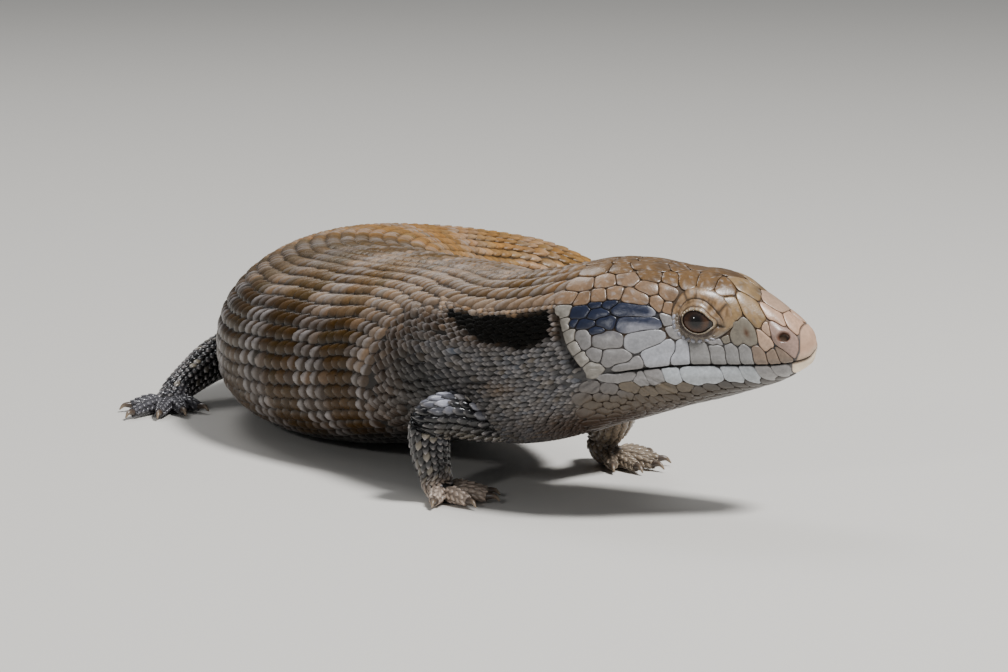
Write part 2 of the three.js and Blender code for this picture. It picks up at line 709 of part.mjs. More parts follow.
// A toe and the claw that goes on from it: both lie on one line from the palm over the toe's tip.
function toeTable(palm, tip) {
  const direction = new THREE.Vector2(tip[0] - palm[0], tip[1] - palm[1]);
  const reach = direction.length();
  direction.normalize();
  const place = (distance, height, radius) => [
    distance,
    palm[0] + direction.x * distance,
    palm[1] + direction.y * distance,
    height,
    radius,
    radius,
  ];
  return {
    direction: [direction.x, direction.y],
    reach,
    toe: [
      place(reach * toe.rootShare, toe.rootHeight, toe.rootRadius),
      place(reach * toe.middleShare, toe.middleHeight, toe.middleRadius),
      place(reach, toe.tipHeight, toe.tipRadius),
    ],
    claw: [
      place(reach + gap, claw.height, claw.radius),
      place(reach + claw.length * claw.middleShare, claw.middleHeight, claw.middleRadius),
      place(reach + claw.length, claw.tipHeight, claw.tipRadius),
    ],
  };
}

function limbMeshes(limb) {
  const table = limb.path.map((row, i) => [i, ...row]);
  const end = table.length - 1;
  const tube = (start, stop, count, lift = 0) =>
    solid(closedStack(tubeRings(table, start, stop, count, limbSides, limb.facing, lift)));
  const halfGapAt = (t) => gap / 2 / pathRate(table, t);
  const elbowGap = halfGapAt(limb.elbowAt);
  const wristGap = halfGapAt(limb.wristAt);

  const { from, to, rings, room: bodyRoom } = limbClearance;
  const clearOfBody = solid(bodyStack(from, to, rings, bodyRoom));
  const upper = tube(0, limb.elbowAt - elbowGap, limbRings).subtract(clearOfBody);
  const lower = tube(limb.elbowAt + elbowGap, limb.wristAt - wristGap, limbRings).subtract(clearOfBody);
  let foot = tube(limb.wristAt + wristGap, end, footRings);
  const meshes = [];
  limb.tips.forEach((tip, i) => {
    const part = toeTable(limb.palm, tip);
    const toeStart = part.reach * toe.rootShare;
    const toeRings = tubeRings(part.toe, toeStart, part.reach, toe.rings, toe.sides, part.direction);
    foot = foot.add(solid(closedStack(toeRings)));
    const clawStart = part.reach + gap;
    const clawEnd = part.reach + claw.length;
    const clawRings = tubeRings(part.claw, clawStart, clawEnd, claw.rings, claw.sides, part.direction);
    meshes.push(named(`${limb.name}_claw_${i + 1}`, closedStack(clawRings), skin.claw));
  });
  const lowerEnd = limb.wristAt + wristGap * wristClearance.shareOfGap;
  const clearOfLower = tube(limb.elbowAt + elbowGap, lowerEnd, limbRings, wristClearance.room);
  foot = foot.subtract(clearOfLower).intersect(aboveFloor);
  meshes.push(named(`${limb.name}_${limb.upper}`, toGeometry(upper), skin.limb));
  meshes.push(named(`${limb.name}_${limb.lower}`, toGeometry(lower), skin.limb));
  meshes.push(named(`${limb.name}_foot`, toGeometry(foot), skin.limb));
  return meshes;
}

// The eyes

function eyeMeshes() {
  return [['eye_right', 1], ['eye_left', -1]].map(([name, side]) => {
    const centre = headPlace(eye.along, side * eye.lateral, eye.height);
    return named(name, eyeball(centre, eye.radius), skin.eye);
  });
}

function named(name, geometry, look) {
  const material = new THREE.MeshStandardMaterial({ ...look, metalness: 0 });
  const mesh = new THREE.Mesh(geometry, material);
  mesh.name = name;
  return mesh;
}

// The whole animal

const skink = new THREE.Group();
skink.add(...bodyMeshes(), ...eyeMeshes(), ...limbs.flatMap(limbMeshes));

// The origin is on the floor under the middle of the animal.
const extent = new THREE.Box3().setFromObject(skink);
skink.position.set(-(extent.min.x + extent.max.x) / 2, -(extent.min.y + extent.max.y) / 2, 0);

export default skink;
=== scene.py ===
"""The looks of a blue-tongued skink: one skin with its shields and scales, its eyes and its claws.

Lengths are in millimetres until a mesh is made. A place on the flesh is given by how far it is
along the spine behind the snout, and how far it is across the skin from the middle of the back,
positive on the animal's right.
"""
import math

import bpy
import numpy as np
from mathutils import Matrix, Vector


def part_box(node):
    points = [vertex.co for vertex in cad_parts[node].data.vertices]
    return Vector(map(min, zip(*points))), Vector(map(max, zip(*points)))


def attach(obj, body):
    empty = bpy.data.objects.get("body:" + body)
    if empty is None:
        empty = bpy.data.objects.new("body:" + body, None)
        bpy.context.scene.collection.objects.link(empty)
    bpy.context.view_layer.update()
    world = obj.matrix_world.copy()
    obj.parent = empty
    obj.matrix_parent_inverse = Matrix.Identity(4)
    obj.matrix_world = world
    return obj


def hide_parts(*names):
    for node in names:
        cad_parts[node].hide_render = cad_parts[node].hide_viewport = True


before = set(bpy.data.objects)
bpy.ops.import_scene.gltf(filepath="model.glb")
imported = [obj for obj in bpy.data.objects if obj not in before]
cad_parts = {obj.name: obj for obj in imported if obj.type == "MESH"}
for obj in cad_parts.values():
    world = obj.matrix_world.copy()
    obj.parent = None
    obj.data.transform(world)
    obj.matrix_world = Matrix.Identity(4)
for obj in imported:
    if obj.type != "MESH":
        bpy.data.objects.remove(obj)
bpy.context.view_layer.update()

MM = 0.001
rng = np.random.default_rng(7)

# The flesh

BODY_LENGTH = 446.0
SPINE_STEP = 0.5
SNOUT = (81.7, -16.7)
# The lowest that skin and scales go above the floor.
FLOOR_CLEAR = 0.05

# Along the spine, and the direction in degrees that the spine runs there, seen from above.
SPINE_COURSE = [
    (0, 162), (52, 162), (62, 153), (73, 138), (84, 123), (95, 110), (106, 106), (126, 115),
    (144, 120), (172, 117), (200, 104), (225, 92), (248, 80), (268, 63), (288, 42), (310, 21),
    (334, 7), (352, -14), (368, -58), (384, -98), (400, -114), (420, -119), (446, -122),
]

# Along the spine, underside height, top height, half width.
BODY_SIZE = [
    (0, 44.8, 46.2, 0.6), (1, 41.5, 49.5, 3.8), (2.5, 40, 51.2, 5.8), (4.5, 38.7, 52.7, 7.3),
    (8.8, 36.4, 55.9, 9.4), (15, 34.2, 60, 11.9), (19, 32.9, 62.8, 13.3), (24, 31.4, 64.6, 14.9),
    (32, 29.4, 65.3, 17.2), (44, 25.7, 67, 20.8), (53, 22.8, 67.2, 22), (60, 20.2, 66.2, 21.6),
    (70, 17, 64, 20.8), (80, 14.8, 62, 21.4), (92, 13.3, 60.6, 24.2), (106, 11.6, 59.6, 28),
    (125, 8.3, 58.4, 32.4), (145, 4.6, 57.2, 36.4), (172, 0.8, 56, 40), (200, -0.5, 54, 41.5),
    (225, -0.5, 53, 40.5), (248, 0.4, 52.2, 37.5), (268, 1.6, 51, 32), (288, 3.6, 48.8, 26),
    (310, 5, 45.6, 21), (334, 4, 40, 17), (356, 1, 29, 13.2), (380, -0.4, 20.5, 9.8),
    (405, -0.5, 14, 6.6), (430, -0.5, 8, 3.6), (446, 0.6, 3, 1),
]

# Along the spine, height share of the widest point, squareness above it, squareness below it.
BODY_SHAPE = [
    (0, 0.45, 2.2, 2.2), (9, 0.4, 2.45, 2.3), (19, 0.35, 2.7, 2.3), (32, 0.34, 2.9, 2.3),
    (44, 0.36, 2.9, 2.3), (53, 0.38, 2.7, 2.3), (64, 0.42, 2.35, 2.3), (80, 0.45, 2.2, 2.35),
    (106, 0.45, 2.15, 2.5), (446, 0.45, 2.15, 2.6),
]

# Along, across, reach along, reach across, height: the swellings and hollows of the head.
SWELLINGS = [
    (29, 15, 9, 4, 1.3),
    (29.7, 22, 6.5, 4.5, -1.2),
    (46, 38, 12, 8, 1.2),
    (7, 11, 4, 4, 0.4),
]

EYE = {"along": 29.7, "lateral": 12.9, "height": 53.4, "radius": 5.0}
# The opening between the lids, set a little back and up from the eye's middle, and the lids' reach.
OPENING = {"half_length": 3.75, "half_height": 2.95, "back": -0.25, "up": 0.3, "tilt": 0.16, "turns": 80}
SOCKET = {"ahead": 5.6, "behind": 2.9, "reach_up": 5.0, "reach_down": 3.0, "above": 7.8, "below": 5.75}
MOUTH_LINE = [(0.3, 43.3), (2.5, 42.6), (5, 42.1), (18, 41.8), (32, 42), (42, 41.3), (50, 40)]
MOUTH_CORNER = 50.0
NOSTRIL = (6.8, 11.0)
# The fold in front of the neck, with the ear at its low end: along, across.
EAR_FOLD = [(62, 24.5), (60.9, 28.5), (59.6, 33), (57.4, 37.5), (55.2, 41)]
EAR = {"along": 57.6, "across": 37.6, "half_length": 2.6, "half_width": 0.45, "lean": 30.0}


def smooth(table, at):
    """Values of a table of rows [station, value, ...] on a smooth curve through its rows."""
    table = np.array(table, float)
    x, y = table[:, 0], table[:, 1:]
    dx = np.diff(x)
    rise = np.diff(y, axis=0) / dx[:, None]
    slope = np.empty_like(y)
    slope[0], slope[-1] = rise[0], rise[-1]
    weight = dx[1:] + dx[:-1]
    slope[1:-1] = (rise[:-1] * dx[1:, None] + rise[1:] * dx[:-1, None]) / weight[:, None]
    at = np.clip(np.atleast_1d(at), x[0], x[-1])
    i = np.clip(np.searchsorted(x, at, side="right") - 1, 0, len(x) - 2)
    span = dx[i][:, None]
    u = ((at - x[i]) / dx[i])[:, None]
    start = (1 + 2 * u) * (1 - u) ** 2 * y[i] + u * (1 - u) ** 2 * span * slope[i]
    end = u * u * (3 - 2 * u) * y[i + 1] - u * u * (1 - u) * span * slope[i + 1]
    return start + end


def same_shape(*values):
    return np.broadcast_arrays(*(np.asarray(value, float) for value in values))


def unit(vectors):
    """Vectors made one long."""
    return vectors / np.linalg.norm(vectors, axis=-1, keepdims=True)


def bump(distance, reach):
    """A smooth bump: 1 at no distance, and nearly 0 at twice the reach."""
    return np.exp(-(distance / reach) ** 2)


def ramp(value, low, high):
    """Rises smoothly from 0 at low to 1 at high."""
    u = np.clip((value - low) / (high - low), 0, 1)
    return u * u * (3 - 2 * u)


def fall(value, low, high):
    """Falls smoothly from 1 at low to 0 at high."""
    return 1 - ramp(value, low, high)


stations = np.arange(0, BODY_LENGTH + SPINE_STEP / 2, SPINE_STEP)
courses = np.radians(smooth(SPINE_COURSE, stations)[:, 0])
strides = np.radians(smooth(SPINE_COURSE, stations[:-1] + SPINE_STEP / 2)[:, 0])
spine = np.array(SNOUT) + np.concatenate(
    [[(0, 0)], np.cumsum(np.stack([np.cos(strides), np.sin(strides)], 1) * SPINE_STEP, 0)])
to_right = np.stack([-np.sin(courses), np.cos(courses)], 1)

# Steps from the crown to the middle of the underside in the table of the body's sections.
SHARE_STEPS = 160


def half_sections():
    """For each station: the half girth, and lateral, height and outward direction by share of it."""
    bottom, top, half_width = smooth(BODY_SIZE, stations).T[:, :, None]
    widest, above, below = smooth(BODY_SHAPE, stations).T[:, :, None]
    angle = np.linspace(0, math.pi, 181)[None, :]
    power = np.where(angle < math.pi / 2, 2 / above, 2 / below)
    middle = bottom + (top - bottom) * widest
    rise = np.abs(np.cos(angle)) ** power
    lateral = half_width * np.abs(np.sin(angle)) ** power
    height = np.where(angle < math.pi / 2, middle + (top - middle) * rise, middle - (middle - bottom) * rise)
    steps = np.hypot(np.diff(lateral, axis=1), np.diff(height, axis=1))
    travelled = np.concatenate([np.zeros((len(stations), 1)), np.cumsum(steps, 1)], 1)
    girth = travelled[:, -1]
    share = np.linspace(0, 1, SHARE_STEPS + 1)
    grids = np.empty((len(stations), SHARE_STEPS + 1, 4))
    for row in range(len(stations)):
        at = share * girth[row]
        for column, form in enumerate((lateral, height)):
            grids[row, :, column] = np.interp(at, travelled[row], form[row])
    grids[:, :, 2] = -np.gradient(grids[:, :, 1], axis=1)
    grids[:, :, 3] = np.gradient(grids[:, :, 0], axis=1)
    grids[:, :, 2:] /= np.linalg.norm(grids[:, :, 2:], axis=2)[:, :, None] + 1e-9
    return girth, grids


half_girths, section_grids = half_sections()


def half_girth(along):
    return np.interp(along, stations, half_girths)


def read_grid(grid, row, column):
    """Reads a grid between its points, at rows and columns that aren't whole."""
    i = np.clip(row.astype(int), 0, grid.shape[0] - 2)
    j = np.clip(column.astype(int), 0, grid.shape[1] - 2)
    u, v = (row - i)[..., None], (column - j)[..., None]
    low = grid[i, j] * (1 - v) + grid[i, j + 1] * v
    high = grid[i + 1, j] * (1 - v) + grid[i + 1, j + 1] * v
    return low * (1 - u) + high * u


def across_at_height(along, height):
    """How far across the right side reaches a height below the crown."""
    row = int(round(along / SPINE_STEP))
    heights = section_grids[row, ::-1, 1]
    shares = np.linspace(1, 0, SHARE_STEPS + 1)
    return float(np.interp(height, heights, shares) * half_girths[row])


mouth_line = np.array([(s, across_at_height(s, smooth(MOUTH_LINE, s)[0, 0]))
                       for s in np.arange(0.5, 56, 0.5)])


def mouth_across(along):
    """Where the mouth line runs; over the last millimetres it keeps its share of the girth."""
    inner = np.maximum(along, 1.2)
    taper = half_girth(along) / half_girth(inner)
    return np.interp(inner, mouth_line[:, 0], mouth_line[:, 1]) * np.minimum(taper, 1)


def from_line(along, across, line):
    """Signed distance from a line of points on the skin: negative towards the snout."""
    best = np.full(np.shape(along), 1e9)
    for (s0, a0), (s1, a1) in zip(line[:-1], line[1:]):
        ds, da = s1 - s0, a1 - a0
        length = math.hypot(ds, da)
        t = np.clip(((along - s0) * ds + (across - a0) * da) / length ** 2, 0, 1)
        off_s, off_a = along - s0 - t * ds, across - a0 - t * da
        distance = np.hypot(off_s, off_a) * np.where(off_s * da - off_a * ds < 0, -1, 1)
        best = np.where(np.abs(distance) < np.abs(best), distance, best)
    return best


def relief(along, across):
    """Height of the soft forms of the head and neck over the plain flesh."""
    across = np.abs(across)
    height = np.zeros(np.shape(along))
    for at, over, reach_along, reach_across, rise in SWELLINGS:
        height += rise * np.exp(-((along - at) / reach_along) ** 2 - ((across - over) / reach_across) ** 2)
    below = across - mouth_across(along)
    lip = fall(along, MOUTH_CORNER - 6, MOUTH_CORNER)
    height += lip * (0.4 * bump(below + 1.5, 1.2) - 0.25 * bump(below - 1.0, 1.0))
    fold = from_line(along, across, EAR_FOLD)
    height += 0.35 * bump(fold + 1.7, 1.2) - 0.75 * bump(fold, 0.7)
    # Fine folds spread from the corner of the mouth into the side of the neck.
    behind, beneath = along - MOUTH_CORNER + 3, across - 40
    reach = np.hypot(behind, beneath)
    spread = np.arctan2(beneath, behind)
    zone = ramp(reach, 3, 8) * fall(reach, 13, 22) * ramp(spread, -0.3, 0.2)
    return height + 0.3 * zone * np.sin(spread * 26)


def body_point(along, across, lift=0.0):
    """Place of a point on the skin of the body, raised by lift."""
    along, across, lift = same_shape(along, across, lift)
    along = np.clip(along, 0, BODY_LENGTH)
    row = np.clip(along / SPINE_STEP, 0, len(stations) - 1.001)
    share = np.clip(np.abs(across) / half_girth(along), 0, 1)
    lateral, height, out, up = np.moveaxis(read_grid(section_grids, row, share * SHARE_STEPS), -1, 0)
    raised = lift + relief(along, across)
    size = np.hypot(out, up) + 1e-9
    side = np.where(across < 0, -1.0, 1.0)
    lateral = (lateral + raised * out / size) * side
    height = height + raised * up / size
    i = np.clip(row.astype(int), 0, len(stations) - 2)
    u = (row - i)[..., None]
    base = spine[i] * (1 - u) + spine[i + 1] * u
    right = to_right[i] * (1 - u) + to_right[i + 1] * u
    ground = base + right * lateral[..., None]
    return np.concatenate([ground, np.maximum(height, FLOOR_CLEAR)[..., None]], -1)


# The CAD has the same flesh with its origin under the middle of the animal, so the place of one
# eye in it gives the shift between the two.
eye_row = int(round(EYE["along"] / SPINE_STEP))


def head_place(along, lateral, height):
    """A place in the head by its distance behind the snout, to the right and above the floor."""
    ground = np.array([np.interp(along, stations, column) for column in spine.T])
    return np.append(ground + to_right[int(round(along / SPINE_STEP))] * lateral, height)


# The middle of the opening between the lids, along and across.
EYE_SPOT = (EYE["along"] + OPENING["back"], across_at_height(EYE["along"], EYE["height"] + OPENING["up"]))
eye_box = np.array(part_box("eye_right"))
shift = eye_box.mean(0) / MM - head_place(EYE["along"], EYE["lateral"], EYE["height"])
shift[2] = 0

# The limbs: x, y, z, half width, half height of each section from inside the body to the palm, the
# toe tips from the inner one to the outer one, the way the foot faces, and how much painted light pales the
# limb.
LIMBS = {
    "front_right": {
        "path": [
            (6, 13, 22, 7, 7), (-6, 5.5, 23.2, 6.8, 6.8), (-15.2, 5, 24, 6.4, 6.2), (-19.6, 7, 20.5, 6.3, 6),
            (-19.6, 8, 13, 6, 5.4), (-18.3, 8.4, 6.8, 5.1, 4.4), (-17.2, 7.2, 3.2, 5.2, 3.5),
            (-14, 4.4, 2.3, 4.4, 2.7),
        ],
        "palm": (-16.8, 7),
        "tips": [(-9, 17), (-4.5, 10.5), (-4.5, 3), (-9.5, -3.6), (-18.5, -3.2)],
        "facing": (0.85, -0.53), "toe_tone": "toe_brown", "painted_light_share": 0.0,
    },
    "front_left": {
        "path": [
            (4, 27, 21, 7, 7), (18, 33, 23, 6.8, 6.8), (28, 41, 24, 6.4, 6.2), (31.5, 47, 20.5, 6.3, 6),
            (30.2, 55, 14, 6, 5.4), (27.6, 61.6, 8, 5.3, 4.6), (28.4, 60.6, 3.4, 5.2, 3.5),
            (32.4, 57.6, 2.3, 4.4, 2.7),
        ],
        "palm": (29, 60),
        "tips": [(30, 47.5), (36.5, 46), (41.5, 50), (43, 58), (39.5, 69)],
        "facing": (0.87, -0.5), "toe_tone": "painted_lit_toe", "painted_light_share": 0.75,
    },
    "hind_right": {
        "path": [
            (-46, 190, 22, 8.8, 8.8), (-64, 184, 19, 8.6, 8.4), (-80, 174.5, 14.5, 7.6, 7),
            (-87.5, 167.5, 12, 6.8, 6.2), (-92.5, 161, 9, 5.9, 5.2), (-97, 154.5, 5.8, 5.1, 4.3),
            (-99, 150.5, 3.2, 5.2, 3.5), (-100.6, 146, 2.3, 4.4, 2.7),
        ],
        "palm": (-99.4, 149.6),
        "tips": [(-90.5, 143), (-95, 136.5), (-101.5, 132), (-109.5, 132.5), (-111, 145)],
        "facing": (-0.33, -0.94), "toe_tone": "hind_toe", "painted_light_share": 0.0,
    },
    "hind_left": {
        "path": [
            (-26, 178, 22, 8.8, 8.8), (-12, 169, 20, 8.6, 8.4), (1, 161, 17.5, 7.6, 7),
            (4.5, 155, 14.5, 6.8, 6.2), (4, 149, 10, 5.9, 5.2), (4, 144, 6, 5.1, 4.3),
            (5.4, 140.4, 3.2, 5.2, 3.5), (7.6, 136.2, 2.3, 4.4, 2.7),
        ],
        "palm": (6, 139.4),
        "tips": [(-4.5, 135.5), (1.5, 127.5), (8.5, 122), (16.5, 123.5), (18, 135)],
        "facing": (0.46, -0.89), "toe_tone": "hind_toe", "painted_light_share": 0.1,
    },
}
LIMB_NODES = {"front": ("upper_arm", "forearm", "foot"), "hind": ("thigh", "shank", "foot")}
# Radii of a toe and a claw, and the heights of their middles over the floor.
TOE = {"root_radius": 2.6, "middle_radius": 2.4, "tip_radius": 1.6, "root_share": 0.3, "height": 2.2}
CLAW = {"length": 3.6, "radius": 1.1, "tip_radius": 0.18, "height": 2.0, "tip_height": 0.9}


class Tube:
    """A limb, toe or claw: along is the way along its path, across the way round from its top."""

    def __init__(self, rows, facing):
        self.table = [(i, *row) for i, row in enumerate(rows)]
        self.level = np.array([facing[0] * 0.6, facing[1] * 0.6, 1.0])
        self.steps = np.linspace(0, len(rows) - 1, 40 * len(rows))
        places = smooth(self.table, self.steps)[:, :3]
        self.way = np.concatenate([[0], np.cumsum(np.linalg.norm(np.diff(places, axis=0), axis=1))])
        self.length = self.way[-1]

    def radii(self, along):
        t = np.interp(along, self.way, self.steps)
        return smooth(self.table, t.ravel())[:, 3:].mean(1).reshape(t.shape)

    def point(self, along, across, lift=0.0):
        along, across, lift = same_shape(along, across, lift)
        t = np.interp(along, self.way, self.steps).ravel()
        values = smooth(self.table, t)
        ahead = smooth(self.table, t + 0.05)[:, :3] - smooth(self.table, t - 0.05)[:, :3]
        side = unit(np.cross(ahead, self.level))
        up = unit(np.cross(side, ahead))
        angle = across.ravel() / values[:, 3:].mean(1)
        out = values[:, 3:] + lift.reshape(-1, 1)
        place = values[:, :3] + side * (out[:, 0] * np.sin(angle))[:, None]
        place = place + up * (out[:, 1] * np.cos(angle))[:, None]
        place[:, 2] = np.maximum(place[:, 2], FLOOR_CLEAR)
        return place.reshape(*along.shape, 3)


def toe_rows(palm, tip):
    """Rows of a toe and of the claw that goes on from it."""
    direction = np.array(tip, float) - palm
    reach = np.linalg.norm(direction)
    direction /= reach
    toe = [
        (reach * TOE["root_share"], TOE["height"] + 0.4, TOE["root_radius"]),
        (reach * 0.62, TOE["height"] + 0.5, TOE["middle_radius"]),
        (reach, TOE["height"] - 0.2, TOE["tip_radius"]),
    ]
    claw = [
        (reach - 0.8, CLAW["height"], CLAW["radius"]),
        (reach + CLAW["length"] * 0.55, CLAW["height"] + 0.2, CLAW["radius"] * 0.62),
        (reach + CLAW["length"], CLAW["tip_height"], CLAW["tip_radius"]),
    ]
    toe, claw = ([(*(np.array(palm) + direction * distance), height, radius, radius)
                  for distance, height, radius in rows] for rows in (toe, claw))
    return toe, claw, direction


# Colours

def linear(value):
    """Turns a colour in sRGB hex into linear light."""
    channels = [int(value[i:i + 2], 16) / 255 for i in (1, 3, 5)]
    return np.array([c / 12.92 if c <= 0.04045 else ((c + 0.055) / 1.055) ** 2.4 for c in channels])


# Some tones stand in for light: the underside's and the shoulder's are painted shade, the throat's and the
# neck patch's black partly so, the elbow's blue-white is a painted highlight, the far forelimb's pale toe
# tone is painted light, and the frosted tone is pale frost with painted glints.
TONES = {name: linear(value) for name, value in dict(
    caramel="#6c5131", caramel_pale="#8e7451", snout_pink="#b9967d", snout_tan="#ad9079", nasal="#987e72",
    brow="#937656", loreal="#736c60", lid="#6f655a", lid_band="#94795b", lid_rim="#b3a790", cheek="#807d7c",
    cheek_pale="#8a8a8d", rim="#858078", lip="#7f7d7b", lip_tan="#7a695b", lip_front="#dcc6ae",
    lower_lip="#a8acb0", lower_front="#8f8c8b", jaw="#5e5344", throat="#301e0d", temple="#846a52",
    amber="#6e3d12", streak="#1c2338", frost="#8b8b93", neck_grey="#605e5e", neck_black="#070604",
    back_tan="#988069", back_olive="#4f3e22", back_brown="#634a27", flank_grey="#3f3124",
    flank_gold="#3e2904", belly_painted_shade="#080604", suture="#3e2c1c", dark_gap="#1b140e", lip_rear="#9d9ea3",
    lid_fold="#3d2f26", shoulder="#0f0c09", far_gold="#a37842", arm_painted_highlight="#cfd0e0", hind_toe="#535258",
    nostril="#583a2a", limb_black="#070607", limb_sheen="#0d0d12", fleck="#a09684", toe_brown="#baa797",
    painted_lit_toe="#968673", claw_horn="#4b4038", claw_tip="#8d7c68", iris="#4e3422", iris_dark="#1a1110",
    pupil="#030202", frost_and_glint="#a29c9b",
).items()}


def wave_noise(x, y, size, seed):
    """Smooth noise from -1 to 1 made of waves in many directions, about size across."""
    waves = np.random.default_rng(seed)
    total = np.zeros(np.broadcast(x, y).shape)
    for _ in range(7):
        turn, phase = waves.uniform(0, 2 * math.pi, 2)
        pitch = size * waves.uniform(0.7, 1.5)
        total = total + np.sin((x * math.cos(turn) + y * math.sin(turn)) * 2 * math.pi / pitch + phase)
    return total / 4.2


def mix(low, high, share):
    """Goes from one tone or array of tones to another by a share; tones may be given by name."""
    low, high = (TONES[tone] if isinstance(tone, str) else tone for tone in (low, high))
    share = np.asarray(share)[..., None]
    return low * (1 - share) + high * share


def paint(tone, *layers):
    """Lays tones over another one after the other, each by its share."""
    for layer, share in layers:
        tone = mix(tone, layer, share)
    return tone


# The golden bands of the flank, along the spine: the middle of one, and the distance to the next.
BAND_START = 141
BAND_PITCH = 27.5


def flank_band(along):
    """1 in the middle of a golden band of the flank, 0 between two of them."""
    return 0.5 + 0.5 * np.cos((along - BAND_START) / BAND_PITCH * 2 * math.pi)


def body_tone(along, across):
    """The marking of the skin and scales of the neck, trunk and tail at a place."""
    side = np.where(across < 0, -1.0, 1.0)
    across = np.abs(across)
    share = across / half_girth(along)
    patch = wave_noise(along, across * side, 24, 1)
    fine = wave_noise(along, across * side, 8, 2)
    back = mix("back_tan", "back_brown", ramp(patch + 0.4 * fine, -0.6, 0.7))
    # Bands: golden brown and mauve grey in turn over the flank, and browner over the back.
    band = band_share(along, across, fine)
    grey = mix("flank_grey", "back_tan", 0.35 * ramp(fine, 0, 1))
    gold = mix("flank_gold", "back_brown", 0.2 * ramp(fine, 0, 1))
    back = mix(back, "back_brown", 0.5 * band)
    # Where the trunk bends round, the back is olive brown.
    back = mix(back, "back_olive", 0.6 * ramp(along, 150, 180) * fall(along, 215, 240))
    # The lower rows of the back are pinker and paler between the bands.
    back = mix(back, "back_tan", 0.7 * (1 - band) * ramp(share, 0.16, 0.3))
    low_edge = np.interp(along, [60, 92, 115, 140], [22, 22.5, 30, 36])
    flank = ramp(across + 2 * fine, low_edge - 3, low_edge + 3)
    flank = np.where(along > 250, ramp(share + 0.03 * fine, 0.42, 0.52), flank)
    tone = mix(back, mix(grey, gold, band), flank)
    arm_root, leg_root = np.hypot(along - 82, (across - 47) * 0.8), np.hypot(along - 232, across - 52)
    return paint(
        tone,
        # A pale diagonal of light scales between the neck and the first golden band.
        ("back_tan", 0.75 * bump(along - 119 - 0.7 * (across - 33), 4) * ramp(across, 26, 32)
         * fall(across, 46, 54)),
        # Painted shade darkens the underside nearly to black.
        ("belly_painted_shade", ramp(share + 0.04 * fine, 0.68, 0.8)),
        # The nape keeps the colour of the crown.
        ("caramel", 0.8 * fall(along, 58, 92) * fall(across, 13, 20)),
        (TONES["temple"] * 0.9, 0.7 * fall(along, 60, 70) * ramp(across, 12, 16) * fall(across, 21, 23)),
        # Side of the neck and shoulder: fine grey scales, with a black patch above them.
        ("neck_grey", fall(along, 84, 108) * ramp(across + fine, 29, 33)),
        # The throat's dark brown is partly its own colour and partly painted shade.
        ("throat", fall(along, 56, 84) * ramp(share, 0.62, 0.78)),
        # Painted shade darkens the shoulder over the arm.
        ("shoulder", 0.93 * bump(along - 96, 14) * ramp(across, 33, 42)),
        ("far_gold", 0.6 * ramp(along, 222, 245) * fall(share, 0.36, 0.5)),
        # The black of the limbs spreads a little onto the body at their roots.
        ("limb_black", 0.75 * np.maximum(bump(arm_root, 7.5), bump(leg_root, 10))),
        # A dusty rose smear in front of the arm, and the pale rim in front of the ear.
        ("back_brown", 0.55 * bump(along - 73.5, 3.5) * bump(across - 42, 2.2)),
        ("rim", 0.9 * bump(from_line(along, across, EAR_FOLD) + 1.6, 1.2) * ramp(along, 50, 54)),
        # A real black marking on the neck, deepened by painted shade.
        ("neck_black", neck_patch(along, across, fine)),
    )


def band_share(along, across, fine=0.0):
    """1 within the golden bands of the flank, 0 in the grey between them."""
    band = ramp(flank_band(along + 3 * fine + 0.12 * (across - 45)), 0.32, 0.55)
    return band * ramp(along, 126, 136)


def frost_glint_share(along, across):
    """How much pale frost and painted glint the free edges of the scales take: most on the grey of the flank.
    """
    over = np.abs(across)
    share = over / half_girth(along)
    low = (1 - 0.8 * ramp(share, 0.66, 0.8)) * (1 - 0.6 * bump(along - 96, 14) * ramp(over, 33, 42))
    return low * (1 - 0.97 * band_share(along, over)) * (1 - neck_patch(along, across))


def neck_patch(along, across, fine=0.0):
    """1 within the black patch on the side of the neck, which tapers backwards."""
    across = np.abs(across)
    low_edge = np.interp(along, [62, 66, 72, 80, 88, 93], [31.5, 31.5, 30.5, 28.5, 25.5, 23])
    inside = ramp(across, 21.6, 22.4) * fall(across + 0.8 * fine, low_edge - 0.8, low_edge + 0.8)
    return inside * ramp(along, 62.6, 63.8) * fall(along, 90, 93)


# How far across the skin, and how far back the two plates at the tip of the snout reach there.
TIP_BORDER = ([0, 5, 8, 10.7, 13.5, 16, 20, 26], [3.3, 3.7, 3.4, 3.3, 4.1, 5.2, 5.6, 5.0])


def tip_border(across):
    return np.interp(np.abs(across), *TIP_BORDER)


def tip_share(along, across):
    """1 on the rostral and mental plates, 0 behind them."""
    return fall(along, tip_border(across) - 0.35, tip_border(across) - 0.1)


def head_tone(along, across):
    """The colour of the skin of the head between its shields."""
    across = np.abs(across)
    below = across - mouth_across(along)
    front = mix("snout_pink", "lip_front", ramp(below, -3, 1))
    streak = ramp(along, 37, 40) * ramp(across, 21, 22) * fall(across, 28.6, 30.2)
    # Below the mouth the skin goes to the jaw's tone and the throat's dark brown, partly painted shade.
    return paint(
        TONES["caramel"], ("snout_pink", fall(along, 6, 18)), ("cheek", ramp(below, -9, -5)),
        ("jaw", ramp(below, 4, 8)), ("throat", ramp(below, 9, 18)),
        (TONES["streak"] * 0.6, streak), (front * 1.6, tip_share(along, across)))


def skin_tone(along, across):
    return mix(head_tone(along, across), body_tone(along, across), ramp(along, 54, 60))


# Meshes

def add_object(name, data):
    added = bpy.data.objects.new(name, data)
    bpy.context.scene.collection.objects.link(added)
    return added


